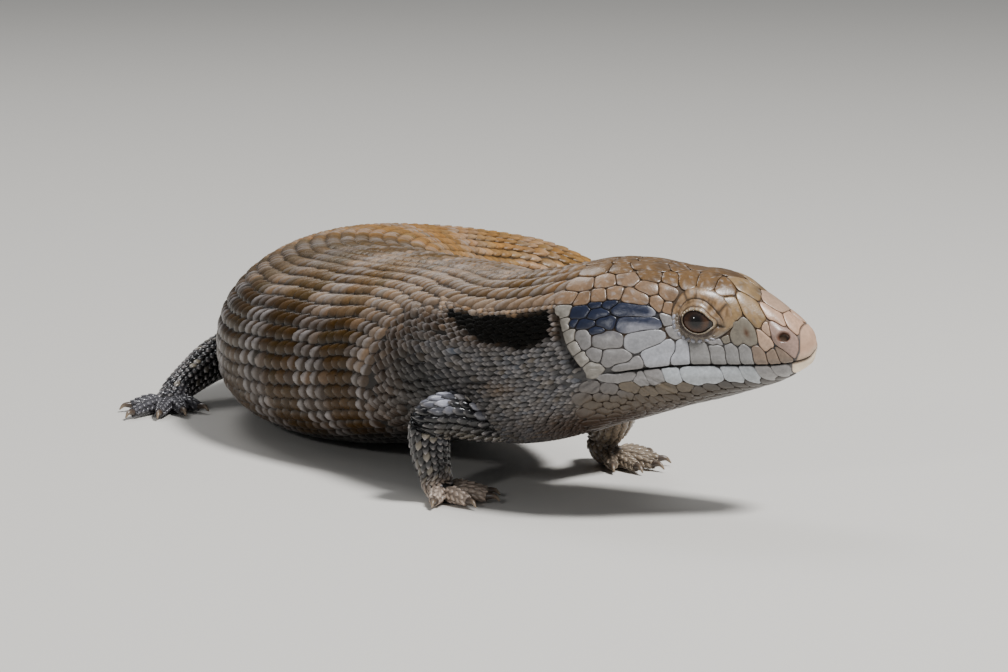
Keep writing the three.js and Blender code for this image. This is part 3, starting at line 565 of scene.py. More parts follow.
def make_piece(name, points, faces, tones, uvs, material):
    """One object from points in millimetres, its faces, a colour and an unwrapped place per point."""
    mesh = bpy.data.meshes.new(name)
    mesh.from_pydata(((points + shift) * MM).tolist(), [], faces)
    mesh.polygons.foreach_set("use_smooth", np.ones(len(mesh.polygons), bool))
    markings = mesh.color_attributes.new("markings", "FLOAT_COLOR", "POINT")
    rgba = np.concatenate([np.clip(tones, 0, 1), np.ones((len(points), 1))], 1)
    markings.data.foreach_set("color", rgba.astype(np.float32).ravel())
    unwrap = mesh.uv_layers.new(name="OFBake")
    corners = np.empty(len(mesh.loops), dtype=np.int32)
    mesh.loops.foreach_get("vertex_index", corners)
    unwrap.uv.foreach_set("vector", uvs[corners].astype(np.float32).ravel())
    mesh.materials.append(material)
    piece = add_object(name, mesh)
    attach(piece, "root")
    return piece


class Parts:
    """Gathers points, faces, colours and unwrapped places until a piece is made of them."""

    def __init__(self):
        self.points, self.faces, self.tones, self.uvs = [], [], [], []
        self.count = 0

    def add(self, points, faces, tones, uvs):
        points = points.reshape(-1, 3)
        self.points.append(points)
        self.tones.append(np.broadcast_to(tones.reshape(-1, 3), points.shape))
        self.uvs.append(uvs.reshape(-1, 2))
        for group in faces:
            self.faces.extend((group + self.count).tolist())
        self.count += len(points)

    def make(self, name, material):
        return make_piece(name, np.concatenate(self.points), self.faces, np.concatenate(self.tones),
                          np.concatenate(self.uvs), material)


def grid_faces(rows, columns, closed=False):
    """Quads of a grid of points, closed round its columns if asked."""
    r, c = np.meshgrid(np.arange(rows - 1), np.arange(columns if closed else columns - 1), indexing="ij")
    a = r * columns + c
    b = r * columns + (c + 1) % columns
    return np.stack([a, b, b + columns, a + columns], -1).reshape(-1, 4)


def capped_faces(rings, turns):
    """Faces of rings of points closed by a point at each end, and those two come after the rings."""
    ring = np.arange(turns)
    last = ring + (rings - 1) * turns
    start, end = np.full((2, turns), rings * turns) + [[0], [1]]
    return [grid_faces(rings, turns, closed=True), np.stack([start, np.roll(ring, -1), ring], 1),
            np.stack([end, last, np.roll(last, -1)], 1)]


# Where each form has its place on the unwrapped skin, as left, bottom, width and height.
UNWRAP = {
    "body": (0.01, 0.01, 0.98, 0.46),
    "head": (0.01, 0.5, 0.48, 0.48),
    "front_right": (0.52, 0.88, 0.46, 0.1),
    "front_left": (0.52, 0.76, 0.46, 0.1),
    "hind_right": (0.52, 0.64, 0.46, 0.1),
    "hind_left": (0.52, 0.52, 0.46, 0.1),
}
HEAD_END = 62.0
# How much of a limb's strip of the unwrapped skin the limb takes, and each toe after it.
LIMB_STRIP = 0.5
TOE_STRIP = 0.08
TOE_STRIPS_START = 0.52
TOE_STRIP_STEP = 0.09


def unwrap_place(island, across_share, along_share):
    left, bottom, width, height = UNWRAP[island]
    return np.stack([left + width * along_share, bottom + height * across_share], -1)


def body_unwrap(along, across, on_head):
    turn = 0.5 + 0.5 * across / half_girth(along)
    head = unwrap_place("head", turn, np.clip(along / HEAD_END, 0, 1))
    body = unwrap_place("body", turn, np.clip((along - HEAD_END) / (BODY_LENGTH - HEAD_END), 0, 1))
    return np.where(np.asarray(on_head)[..., None], head, body)


def limb_unwrap(island, along, across, tube, start, share):
    """A limb's strip of the unwrapped skin: its part from start, share of it long."""
    turn = 0.5 + 0.5 * across / (math.pi * tube.radii(along))
    return unwrap_place(island, np.clip(turn, 0, 1), start + share * np.clip(along / tube.length, 0, 1))


# Shields of the head by kind and tone. Each is the space round a short line: along, across, half
# length of the line, its turn in degrees, and how far the shield reaches from it.
SHIELD_KINDS = [
    ("nasal", "nasal", [(7, 10.7, 0.9, 0, 3.3)]),
    ("supranasal", "snout_pink", [(5.6, 3.6, 2, 70, 1.9)]),
    ("postnasal", "snout_pink", [(9.9, 7.4, 1, 0, 2.4)]),
    ("postnasal", "snout_tan", [(12, 12.4, 0.3, 90, 1.7), (12, 16, 0.5, 90, 1.9)]),
    ("frontonasal", "snout_tan", [(11.6, 0, 3, 90, 3)]),
    ("prefrontal", "caramel_pale", [(18.2, 4.4, 0.8, 40, 3.4)]),
    ("prefrontal_side", "caramel_pale", [(15.4, 11.2, 1.2, -18, 2.9)]),
    ("loreal", "loreal", [(18, 19.3, 2.8, 44, 2.6)]),
    ("subocular", "loreal", [(21.4, 22.9, 1, 50, 1.3)]),
    ("subocular", "cheek", [(24.4, 25.9, 1, 38, 0.8)]),
    ("preocular", "caramel_pale", [(20.4, 15, 1.1, 90, 2.1)]),
    ("frontal", "caramel", [(27.2, 0, 4.4, 0, 3.2)]),
    ("supraocular", "caramel", [
        (22.9, 9.8, 0.8, 90, 2.2), (27.9, 8.6, 1.2, 90, 2.5), (33, 8.6, 1.6, 90, 2.4),
        (37.4, 11.6, 1, 60, 1.7),
    ]),
    ("frontoparietal", "caramel", [(36.6, 3.6, 1.2, 90, 2.5)]),
    ("interparietal", "caramel", [(43, 0, 2.6, 0, 1.9)]),
    ("parietal", "caramel", [(43.4, 6.4, 2.2, 10, 3.2)]),
    ("temporal", "caramel", [(42.4, 12.6, 1, 0, 2.1)]),
    ("temporal", "temple", [(47.6, 14.6, 1, 0, 2.1), (52.6, 15.4, 0.8, 0, 2.1), (57, 15.8, 0.4, 0, 1.9)]),
    ("nuchal", "caramel", [
        (50.8, 3.2, 1.8, 90, 2.4), (49.9, 9.6, 1.4, 90, 2.2), (55.8, 2.8, 1.6, 90, 2.2),
        (55.4, 9.4, 1.8, 90, 2.2),
    ]),
    ("postocular", "temple", [(39.9, 20.2, 0.5, 90, 1.5), (37.3, 21, 0.5, 80, 0.8)]),
    ("postocular", "cheek", [(37.2, 23.9, 0.5, 100, 0.8), (35.6, 26.6, 0.5, 130, 0.7)]),
    ("postocular", "temple", [(38.3, 16.6, 0.6, 90, 1.4)]),
    ("temple", "temple", [
        (42.2, 16.9, 0.8, -9, 2), (45.2, 20.4, 1.5, -3, 2), (49.5, 19.9, 0.5, 0, 1.8),
        (53.3, 20.5, 0.3, 1, 1.8), (56.7, 20.6, 0.5, -9, 1.6), (59.6, 20, 0.3, 27, 1.3),
    ]),
    ("streak_high", "streak", [(45.2, 23.8, 3.3, 3, 1.8)]),
    ("streak_low", "streak", [(43.8, 27.2, 3.4, 17, 1.9)]),
    ("black", "streak", [
        (50.8, 27.5, 0.8, -9, 1.5), (52.8, 25.5, 0.8, 7, 1.6), (50.2, 23.1, 0.8, 20, 1.2),
        (53.7, 23, 0.5, 1, 1), (56.8, 24.4, 0.8, -7, 1.6), (55.2, 27.8, 0.8, -5, 1.2),
        (52.9, 29.9, 0.6, -4, 0.9), (58.2, 27.2, 0.3, 20, 1),
    ]),
    ("cheek", "cheek_pale", [(42.2, 30.9, 3.2, 30, 2.2)]),
    ("cheek", "cheek", [(48.2, 36.5, 1.3, 9, 2)]),
    ("cheek_shaded", "cheek", [(50.2, 32.5, 1.8, 6, 1.9)]),
    ("cheek", "cheek", [(52.8, 35.9, 0.4, -56, 1.5), (55.4, 31.9, 1.2, -61, 1.5)]),
    ("rim", "rim", [
        (60.2, 23.4, 0.8, -72, 1.1), (59.6, 27, 0.8, -71, 1.1), (58.5, 30.4, 0.8, -71, 1.1),
        (57.2, 33.7, 0.9, -73, 1.1), (55.5, 36.9, 0.9, -56, 1.1), (53.2, 39.5, 1, -39, 1),
    ]),
    ("upper_lip", "lip_tan", [
        (5.9, 15.7, 0.8, 20, 1.9), (9.4, 18.6, 0.6, 90, 1.6), (13, 21.3, 0.7, 90, 1.8),
    ]),
    ("upper_lip", "lip", [
        (16.5, 24, 1.2, 90, 1.8), (20, 26.7, 1, 90, 1.8), (24, 28.9, 0.8, 90, 2.1),
        (28.6, 30.5, 0.5, 10, 2.6),
    ]),
    ("upper_lip", "lip_rear", [(33.5, 31.9, 1, 59, 2.4), (38.5, 33.4, 2.9, 46, 2.4)]),
    ("upper_lip", "cheek", [(45.2, 37.8, 2.8, 27, 1.1)]),
    ("lower_lip", "lower_front", [(7.2, 21.3, 0.8, 52, 1.7), (11.2, 25, 0.3, 40, 2)]),
    ("lower_lip", "lower_lip", [
        (15.5, 28.8, 0.4, 90, 2.1), (20, 32.2, 0.4, 90, 2.3), (28, 35.5, 3.1, 11, 2.2),
        (35.5, 37.9, 0.4, 90, 1.8),
    ]),
    ("lower_lip", "cheek", [(39.5, 39.8, 0.6, 26, 1.3), (43, 41.6, 0.3, 34, 1.1)]),
    ("lip_strip", "cheek", [(47.6, 41.4, 2.6, 12, 0.9)]),
    ("chin", "jaw", [
        (45.2, 44.2, 0.8, 21, 1.2), (36.8, 42, 0.8, 10, 1.3), (32.4, 40.4, 0.8, 14, 1.1),
        (41.6, 44.6, 0.8, 13, 1.1),
    ]),
]
SHIELDS = [(kind, *row, tone) for kind, tone, rows in SHIELD_KINDS for row in rows]
# Half of the gap between two shields, and below the mouth.
SUTURE = 0.15
LOWER_SUTURE = 0.02
# Points round each shield and each plate of the throat.
SHIELD_TURNS = 40
PLATE_TURNS = 20
# The furthest that a shield, or a plate of the throat, reaches beyond its own size.
FREE_REACH = 2.4
THROAT_REACH = 1.0
# How far across the fold in front of the neck bounds the shields.
EAR_FOLD_END = 41.5
BELOW_MOUTH = ("lower_lip", "lip_strip", "chin", "throat")
# Distance in from the edge of a shield, height there, and how much of its suture's colour shows.
SHIELD_EDGE = [(0, -0.9, 1.0), (0, -0.42, 1.0), (0.06, -0.24, 0.6), (0.18, -0.14, 0.08), (0.5, -0.09, 0.0)]
# The rings inside those as shares of the last one, and how much the shield is domed.
SHIELD_INNER = [0.72, 0.42, 0.16]
SHIELD_DOME = 0.11
# The nostril is an oval pit with a swollen rim: size and height of its rings.
NOSTRIL_RINGS = [(2.2, 0.2), (1.7, 0.32), (1.35, 0.22), (1.1, -0.3), (0.9, -1.3)]
# How far across the plates of the throat start, along the head, and their spacing and row width.
THROAT_START = ([4, 8, 15, 28, 36, 41, 45, 49, 54], [22, 25.6, 33, 40.6, 45.6, 47.6, 47.4, 45.4, 45])
PLATE_PITCH = 3.5
PLATE_ROW = 2.6


def throat_seeds():
    """Small smooth plates of the chin and throat, in rows that follow the lower lip."""
    found = []
    for row in range(16):
        for i in range(20):
            along = 4.6 + PLATE_PITCH * (i + 0.5 * (row % 2))
            across = float(np.interp(along, *THROAT_START)) + PLATE_ROW * row
            if along < 56 + 0.12 * row and across < float(half_girth(along)) - 0.3:
                found.append(("throat", along, across, 0.6, 0, 1.3, "throat"))
    return found


def on_both_sides(seeds):
    sides = []
    for name, along, across, half, turn, reach, tone in seeds:
        sides.append((name, along, across, half, turn, reach, tone))
        if across:
            sides.append((name, along, -across, half, -turn, reach, tone))
    return sides


def gap_to(seed, along, across):
    """Distance of places from the edge of one shield's own size."""
    _, s0, a0, half, turn, reach, _ = seed
    c, d = math.cos(math.radians(turn)), math.sin(math.radians(turn))
    on_line = np.clip((along - s0) * c + (across - a0) * d, -half, half)
    return np.hypot(along - s0 - on_line * c, across - a0 - on_line * d) - reach


def gap_to_eye(along, across):
    """Distance of places from the edge of the lids."""
    # A level line through the eye climbs towards the crown as the snout gets lower.
    level = EYE_SPOT[1] - 0.3 * np.maximum(EYE_SPOT[0] - along, 0)
    half_across = np.where(across < level, SOCKET["above"], SOCKET["below"])
    half_along = OPENING["half_length"] + np.where(along < EYE_SPOT[0], SOCKET["ahead"], SOCKET["behind"])
    return (np.hypot((along - EYE_SPOT[0]) / half_along, (across - level) / half_across) - 1) * half_across


def below_mouth(seed):
    return seed[0].startswith(BELOW_MOUTH)


def neighbours_of(own):
    """The shields that can meet one: those near it, and none from across the mouth."""
    _, along, across, half, _, size, _ = own
    return [other for other in all_seeds if other != own
            and (along > MOUTH_CORNER + 2 or below_mouth(other) == below_mouth(own))
            and math.hypot(other[1] - along, other[2] - across) < half + size + other[3] + other[5] + 4]


def shield_reach(own, angles):
    """How far a shield reaches from its centre in each direction before it meets another."""
    name, s0, a0 = own[:3]
    steps = np.arange(0.08, 13, 0.06)
    along = s0 + steps * np.cos(angles)[:, None]
    across = a0 + steps * np.sin(angles)[:, None]
    inside = gap_to(own, along, across)
    # Where three shields meet, the corners come out a little rounded.
    sharp = 16.0 if "lip" in name else 8.0
    total = np.full(along.shape, 1e-30)
    for other in neighbours_of(own):
        total += np.exp(-sharp * np.clip(gap_to(other, along, across), -3, 20))
    lower = below_mouth(own)
    side = np.abs(across)
    room = np.minimum.reduce([
        -np.log(total) / sharp - inside - (LOWER_SUTURE if lower else SUTURE),
        gap_to_eye(along, side) - 0.05,
        np.where(side < EAR_FOLD_END, -from_line(along, side, EAR_FOLD) - 0.5, 9),
        (THROAT_REACH if name == "throat" else FREE_REACH) - inside,
        along - tip_border(side) - 0.1,
        half_girth(along) - side + 0.05,
    ])
    if s0 < MOUTH_CORNER + 2:
        room = np.minimum(room, (-1 if lower else 1) * (mouth_across(along) - side) - 0.3)
    blocked = room < 0
    reach = steps[np.where(blocked.any(1), blocked.argmax(1), len(steps) - 1)]
    return (reach + 0.5 * (np.roll(reach, 1) + np.roll(reach, -1))) / 2


def shield_markings(own, s, a):
    """The colours over one shield: its own shade with its mottling, frosting or spot."""
    name, along, across, _, _, _, tone = own
    mottle = wave_noise(s, a, 3.2, 11) * 0.07 + wave_noise(s, a, 1.1, 12) * 0.08
    tones = TONES[tone] * rng.uniform(0.94, 1.06) * (1 + mottle[..., None])
    low = np.abs(a) - abs(across)
    if tone in ("caramel", "temple", "caramel_pale"):
        # Painted highlights pale the crown's shields in patches, and the shields are darker towards their
        # front.
        pale = ramp(wave_noise(s * 0.6, a, 1.7, 15) + 0.5 * wave_noise(s, a, 0.8, 16), 0.25, 1.1)
        tones = mix(tones, TONES["frost_and_glint"] * 1.2, 0.4 * pale)
        tones = tones * (1 - 0.35 * ramp(wave_noise(s, a, 4.5, 17), 0.1, 1.0))[..., None]
        tones = tones * (1 - 0.25 * ramp(along - s, 0.3, 3.0))[..., None]
    if name == "streak_high":
        frost = ramp(low, 0.2, 1.7) * ramp(along - s, -2.5, 3.5) + ramp(along - s, 3.4, 5)
        frost = np.clip(frost + 0.2 * wave_noise(s, a, 0.9, 13), 0, 1)
        tones = mix(tones, "frost", frost * 0.8)
    if name == "streak_low":
        frost = ramp(low + 0.16 * (along - s), -1.0, 1.0) * ramp(along - s, -4.5, -1.5)
        frost = np.clip(frost + 0.25 * wave_noise(s, a, 0.9, 13), 0, 1)
        tones = mix(tones, "frost", frost * 0.95)
    if name == "cheek_shaded":
        dark = ramp(-low, 0.4, 1.8) * (0.6 + 0.4 * wave_noise(s, a, 1.4, 14))
        tones = mix(tones, "streak", np.clip(dark, 0, 1) * 0.6)
    if name == "loreal":
        spot = bump(np.hypot(s - along + 1.6, (low + 1.2) * 0.9), 0.8)
        tones = mix(tones, TONES["amber"] * 0.45, 0.95 * spot)
    # The throat's plates take the throat's dark brown, partly painted shade, and darken towards the chin.
    if name == "throat":
        tones = mix(tones, skin_tone(s, a), 0.55)
        tones = tones * (0.5 + 0.5 * ramp(s, 18, 42))[..., None]
    return tones


def suture_tone(own):
    """The colour of the sutures round a shield: soft round the lips, cheeks and throat."""
    tone = own[-1]
    if below_mouth(own):
        return 0.62 * TONES[tone] + 0.1 * TONES["suture"]
    if tone in ("cheek", "cheek_pale", "rim", "lip", "lip_rear"):
        return 0.3 * TONES[tone] + 0.4 * TONES["suture"]
    return TONES["dark_gap"] if tone == "streak" else TONES["suture"]


def lay_shields(parts, seeds, turns):
    angles = np.linspace(0, 2 * math.pi, turns, endpoint=False)
    oval = 1.06 / np.hypot(0.9 * np.cos(angles), 1.0 * np.cos(angles) - 1.08 * np.sin(angles))
    for own in seeds:
        name, along, across = own[:3]
        reach = shield_reach(own, angles)
        insets, lifts, edging = (list(column) for column in zip(*SHIELD_EDGE))
        rings = [np.maximum(reach - inset, 0.3 * reach) for inset in insets]
        full, top = rings[-1], lifts[-1]
        dome = SHIELD_DOME * min(reach.mean() / 2.5, 1.2)
        if name == "nasal":
            rings += [np.minimum(oval * r, full * (0.4 + 0.2 * r)) for r, _ in NOSTRIL_RINGS]
            lifts += [lift for _, lift in NOSTRIL_RINGS]
        else:
            rings += [full * share for share in SHIELD_INNER]
            lifts += [top + dome * (1 - share ** 2) for share in SHIELD_INNER]
        rings, lifts = np.array(rings), np.array(lifts)
        edging = np.append(edging, np.zeros(len(lifts) - len(edging)))
        s = np.maximum(along + rings * np.cos(angles), 0.25)
        a = across + rings * np.sin(angles)
        # A thin rim, painted paler than the middle as a highlight along the edge.
        worn = np.interp(np.arange(len(lifts)), [0, 3, 4, 5], [0, 1, 0.4, 0])
        tones = shield_markings(own, s, a) * (1 + 0.13 * worn[:, None, None])
        if name == "nasal":
            # The nostril's rim is brown, and painted shade blackens the pit.
            tones = mix(tones, "nostril", fall(rings / oval, 1.12, 1.75))
            tones = mix(tones, TONES["nostril"] * 0.14, fall(rings / oval, 0.95, 1.1))
        tones = mix(tones, suture_tone(own), edging[:, None])
        places = np.concatenate([body_point(s, a, lifts[:, None]).reshape(-1, 3),
                                 body_point(along, across, lifts[[0, -1]])])
        tones = np.concatenate([tones.reshape(-1, 3), tones[[0, -1], 0]])
        uv = body_unwrap(np.append(s.ravel(), [along, along]), np.append(a.ravel(), [across, across]), True)
        parts.add(places, [faces[:, ::-1] for faces in capped_faces(len(lifts), turns)], tones, uv)


# Scales

def scale_template(sides, steps, thickness, dome, front, slope=0.66, square=2.0, blunt=2.3, barrel=0.0):
    """A scale: u from its hidden front to its free rear edge, v from side to side, its height, how
    much of its edge colour shows, and its faces. The rim goes down and is closed underneath."""
    rows, columns = len(steps), len(sides)
    u = np.array(steps)[:, None] + np.zeros(columns)
    v = np.array(sides)[None, :] + np.zeros((rows, 1))
    round_end = np.sqrt(np.maximum(1 - 0.88 * np.maximum(2 * u - 1, 0) ** blunt, 0))
    half = np.where(u < 0.5, front + (1 - front) * 2 * u, round_end)
    pointed = 0.1 * (1 - v ** 2) * u
    crown = 1 - np.abs(v) ** square
    height = slope * u - 0.62 + dome * crown * (0.35 + 0.65 * u) - 0.2 * ramp(u, 0.84, 1.0)
    height = height + barrel * (1 - ((u - 0.66) / 0.34) ** 2) * (u > 0.3) * (0.4 + 0.6 * crown)
    edge = ramp(np.abs(v), 0.6, 1.0)
    top = np.stack([u + pointed, v * half, height, edge], -1).reshape(-1, 4)
    index = np.arange(rows * columns).reshape(rows, columns)
    rim = np.concatenate([index[0], index[1:, -1], index[-1, -2::-1], index[-2:0:-1, 0]])
    low = top[rim].copy()
    low[:, 2] = np.minimum(low[:, 2] - thickness, -0.75 + 0.3 * low[:, 0])
    low[:, 3] = 1
    middle = np.array([[0.5, 0, -0.95, 1]])
    template = np.concatenate([top, low, middle])
    count = rows * columns
    quads = grid_faces(rows, columns)
    ring = count + np.arange(len(rim))
    wall = np.stack([rim, ring, np.roll(ring, -1), np.roll(rim, -1)], 1)
    fan = np.stack([np.roll(ring, -1), ring, np.full(len(rim), len(template) - 1)], 1)
    return template, quads[:, ::-1], wall[:, ::-1], fan[:, ::-1]


BROAD_SCALE = scale_template((-1, -0.86, -0.5, 0, 0.5, 0.86, 1), (0, 0.34, 0.5, 0.68, 0.86, 1), 0.3,
                             dome=0.75, front=0.8, slope=0.3, square=2.6, blunt=3.0, barrel=0.36)
SMALL_SCALE = scale_template((-1, -0.55, 0, 0.55, 1), (0, 0.3, 0.55, 0.8, 1), 0.25, dome=0.5, front=0.6)
# The size of one scale's patch on the unwrapped skin.
PATCH = 0.003


def lay_scales(parts, point, roots, template, tone, roots_uv, lift, edge_tone, edge_strength, frost,
               spread=0.1, warmth=0.0, pale_edge_from=0.55):
    """Lays one scale on each root: rows of along, across, length, width, and how far its ends slant."""
    shape, quads, wall, fan = template
    along, across, length, width, slant = roots.T[:, :, None]
    u, v, height, edge = shape.T[:, None, :]
    s = along + (u - 0.5) * length + slant * v * width / 2
    a = across + v * width / 2
    tilt = rng.normal(0, 0.05, along.shape)
    size = 0.35 + 0.65 * np.minimum(width / 3.2, 1.25)
    points = point(s, a, lift + height * size + tilt * v)
    shade = rng.uniform(1 - spread, 1 + spread, along.shape)[..., None]
    warm = 1 + warmth * rng.normal(0, 1, along.shape)[..., None] * np.array([1, 0, -1.5])
    # Painted shade darkens the hidden front, under the scale ahead, and painted light brightens the side that
    # faces up. The free edge is paler, a pale edge with painted glints, and the sides take a dark edge tone:
    # dark margins with painted shade in the grooves.
    shading = (0.5 + 0.62 * np.clip(u, 0, 1)) * (1 - 0.14 * v * np.sign(across))
    base = tone[:, None, :] * shade * warm * shading[..., None]
    worn = ramp(u, pale_edge_from, pale_edge_from + 0.25) * fall(np.abs(v), 0.8, 1.1)
    frost, edge_strength = (np.reshape(value, (-1, 1)) for value in (frost, edge_strength))
    tones = mix(mix(base, "frost_and_glint", worn * frost), edge_tone, np.clip(edge * edge_strength, 0, 1))
    local = np.stack(np.broadcast_arrays(u, (v + 1) / 2), -1) - 0.5
    uv = roots_uv[:, None, :] + PATCH * 0.9 * local
    count, corners = s.shape
    starts = (np.arange(count) * corners)[:, None, None]
    faces = [(group[None] + starts).reshape(-1, group.shape[1]) for group in (quads, wall, fan)]
    parts.add(points, faces, tones, uv)


def chain(start, end, spacing):
    """Stations from start to end whose spacing follows a table of [along, spacing]."""
    at, found = start, []
    while at < end:
        found.append(at)
        at += float(np.interp(at, *np.array(spacing, float).T))
    return np.array(found)


# The broad rows on each side of the trunk, and their width on the neck.
BROAD_ROWS = 25
NECK_ROW = 4.1
# Along the spine, how far across the broad scales reach: on the trunk they go all the way down.
BACK_EDGE = [(50, 21.8), (92, 22.2), (104, 25), (113, 32), (120, 44), (127, 70), (136, 112), (296, 112)]
BACK_SPACING = [(50, 2.9), (90, 3.2), (125, 3.8), (200, 4.1), (300, 3.9)]
# How much the ends of the broad scales slant, by distance from the middle line of the back.
BACK_SLANT = ([0, 5, 12, 40, 58, 72], [0.1, 0.5, 0.95, 0.9, 0.3, 0.0])
# Zones of the flank: from, to, row width, spacing along the spine.
FLANK_ZONES = [
    (46, 80, 1.25, 1.4),
    (80, 93, 1.6, 1.85),
    (93, 104, 2.3, 2.5),
    (104, 122, 3.0, 3.1),
    (122, 296, 4.0, 3.8),
]
# Rows on each side of the tail, from one place to the next.
TAIL_PARTS = [(292, 326, 20, 3.8), (326, 362, 15, 3.6), (362, 402, 10, 3.2), (402, 444, 6, 2.6)]


def back_rows_at(along):
    """The width of the rows of broad scales of the back, and how many fit on each side."""
    on_trunk = ramp(along, 104, 142)
    width = NECK_ROW * (1 - on_trunk) + half_girth(along) / BROAD_ROWS * on_trunk
    edge = np.minimum(np.interp(along, *np.array(BACK_EDGE, float).T), 0.9 * half_girth(along))
    return width, np.floor(edge / width + 0.35)


def clear_of_face(along, across):
    """Where the small scales start behind the shields of the head."""
    across = np.abs(across)
    start = np.interp(across, [0, 11, 13, 19, 21.5, 22, 22.1], [58.6, 58.6, 59.6, 60.4, 61.6, 62.4, 0])
    behind_fold = from_line(along, across, EAR_FOLD) > 0.35
    low = np.interp(across, [40.5, 43, 46, 60, 75], [56.5, 55.5, 55, 57.5, 59])
    ear = np.hypot((along - EAR["along"]) / 0.75, (across - EAR["across"]) / 2.4) < 1
    start = np.where(across > 40.5, low, start)
    return (along > start) & ((across < 22) | (across > 40.5) | behind_fold) & ~ear


def roots_of(along, across, length, width, slant=0.0):
    columns = same_shape(along, across, length, width, slant)
    return np.stack([column.ravel() for column in columns], 1)


def back_roots():
    found = []
    for row in range(BROAD_ROWS):
        at = chain(50, 296, BACK_SPACING)
        at = at[:-1] + 0.5 * (row % 2) * np.diff(at)
        at = at[row < back_rows_at(at)[1]]
        spacing = np.interp(at, *np.array(BACK_SPACING).T)
        width = back_rows_at(at)[0]
        across = (row + 0.5) * width
        for side in (1, -1):
            found.append(roots_of(at + 0.3 * spacing, side * across, spacing * 1.5, width * 1.3,
                                  side * np.interp(across, *BACK_SLANT)))
    return np.concatenate(found)


def flank_roots():
    """Rows of small scales, counted up from the middle of the underside to the broad rows."""
    found = []
    for start, end, width, pitch in FLANK_ZONES:
        for row in range(60):
            at = np.arange(start - 6, end + 6, pitch) + pitch * 0.5 * (row % 2)
            across = half_girth(at) - (row + 0.5) * width
            # Two zones meet along an uneven line.
            border = 2.0 * np.sin(across * 0.6) + 1.5 * np.sin(across * 1.7)
            keep = (at >= start + border * (start > 50)) & (at < end + border * (end < 290))
            broad, count = back_rows_at(at)
            keep &= (across > broad * count - 0.2 * width) & (across < 112)
            for side in (1, -1):
                found.append(roots_of(at[keep], side * across[keep], pitch * 1.38, width * 1.26))
    return np.concatenate(found)


def tail_roots():
    found = []
    for start, end, rows, pitch in TAIL_PARTS:
        for row in range(rows):
            at = np.arange(start, end, pitch) + pitch * 0.5 * (row % 2)
            width = half_girth(at) / rows
            for side in (1, -1):
                found.append(roots_of(at, side * (row + 0.5) * width, pitch * 1.7, width * 1.12))
    return np.concatenate(found)


def lay_body_scales(name, roots, template, near, far, edge_strength, frost_and_glint, material):
    """Lays the scales of the body between two stations as one piece."""
    roots = roots[(roots[:, 0] >= near) & (roots[:, 0] < far)]
    roots = roots[clear_of_face(roots[:, 0], roots[:, 1])]
    # These go on as views of the roots, so they move with them.
    along, across, length, width, slant = roots.T
    jitter = np.clip(rng.normal(0, 1, (2, len(roots))), -2, 2)
    # The rows are strict on the back, and loose among the grains of the neck and shoulder.
    loose = 1 + 2.5 * ramp(np.abs(across), 18, 26) * fall(along, 110, 130)
    along += 0.04 * length * jitter[0] * loose
    across += 0.03 * width * jitter[1] * loose + 0.5 * wave_noise(along, across, 26, 31)
    roots[:, 2:4] *= rng.uniform(0.92, 1.08, (len(roots), 2))
    slant += np.where(width > 3.2, rng.normal(0, 0.08, len(roots)), 0)
    within = np.clip(across, -half_girth(along), half_girth(along))
    tone = skin_tone(along, within)
    frost = frost_and_glint * frost_glint_share(along, within) * rng.uniform(0.4, 1.4, len(roots))
    # The grooves between the rows, dark margins with painted shade, are darkest down the sides.
    edge_strength = edge_strength * np.interp(np.abs(across), [0, 8, 20], [0.65, 0.8, 1.0])
    uv = body_unwrap(along, within, along < HEAD_END)
    parts = Parts()
    lift = -0.72 if template is BROAD_SCALE else -0.5
    lay_scales(parts, body_point, roots, template, tone, uv, lift, TONES["dark_gap"], edge_strength, frost,
               spread=0.2, warmth=0.05)
    return parts.make(name, material)


# Scales of the limbs and toes: from the start, clear of the end, rows all round, distance between two
# of them along the limb, and their length and width as shares of their spacing.
LIMB_SCALES = (4, 2.5, 16, 2.1, 1.45, 1.16)
TOE_SCALES = (0.5, 0.6, 7, 2.0, 1.5, 1.14)


def tube_roots(tube, start, clear, rows, pitch, length, width):
    found = []
    for row in range(rows):
        at = np.arange(start, tube.length - clear, pitch) + pitch * 0.5 * (row % 2)
        round_way = 2 * math.pi * tube.radii(at)
        across = (row + 0.5) * round_way / rows - round_way / 2
        found.append(roots_of(at, across, pitch * length, round_way / rows * width))
    return np.concatenate(found)


def limb_tone(name, along, across, tube):
    """Glossy black with cream flecks; the undersides are paler, and painted light pales the far forelimb."""
    count, hind, limb = len(along), name.startswith("hind"), LIMBS[name]
    turn = np.abs(across) / (math.pi * tube.radii(along))
    black = mix("limb_black", "limb_sheen", rng.uniform(0, 1, count))
    fleck = (rng.uniform(0, 1, count) < 0.04 + 0.16 * ramp(along, 24, 34)) * rng.uniform(0.2, 0.8, count)
    # A painted highlight lies on the top of the elbow or knee, and the underside of the upper limb is pale
    # and speckled.
    painted_highlight_share = bump(along - 21, 8) * fall(turn, 0.16, 0.4) * rng.uniform(0.0, 1.0, count) ** 1.8
    under = ramp(turn, 0.5, 0.7) * fall(along, 20, 30) * rng.uniform(0.0, 1.0, count)
    foot = TONES["hind_toe" if hind else "toe_brown"] * rng.uniform(0.5, 1.1, (count, 1))
    return paint(
        black, ("fleck", fleck), ("arm_painted_highlight", painted_highlight_share * (0.15 if hind else 0.95)),
        (TONES["fleck"] * 0.5, 0.7 * under), (foot, 0.85 * ramp(along, tube.length - 11, tube.length - 4)),
        ("painted_lit_toe", limb["painted_light_share"]))


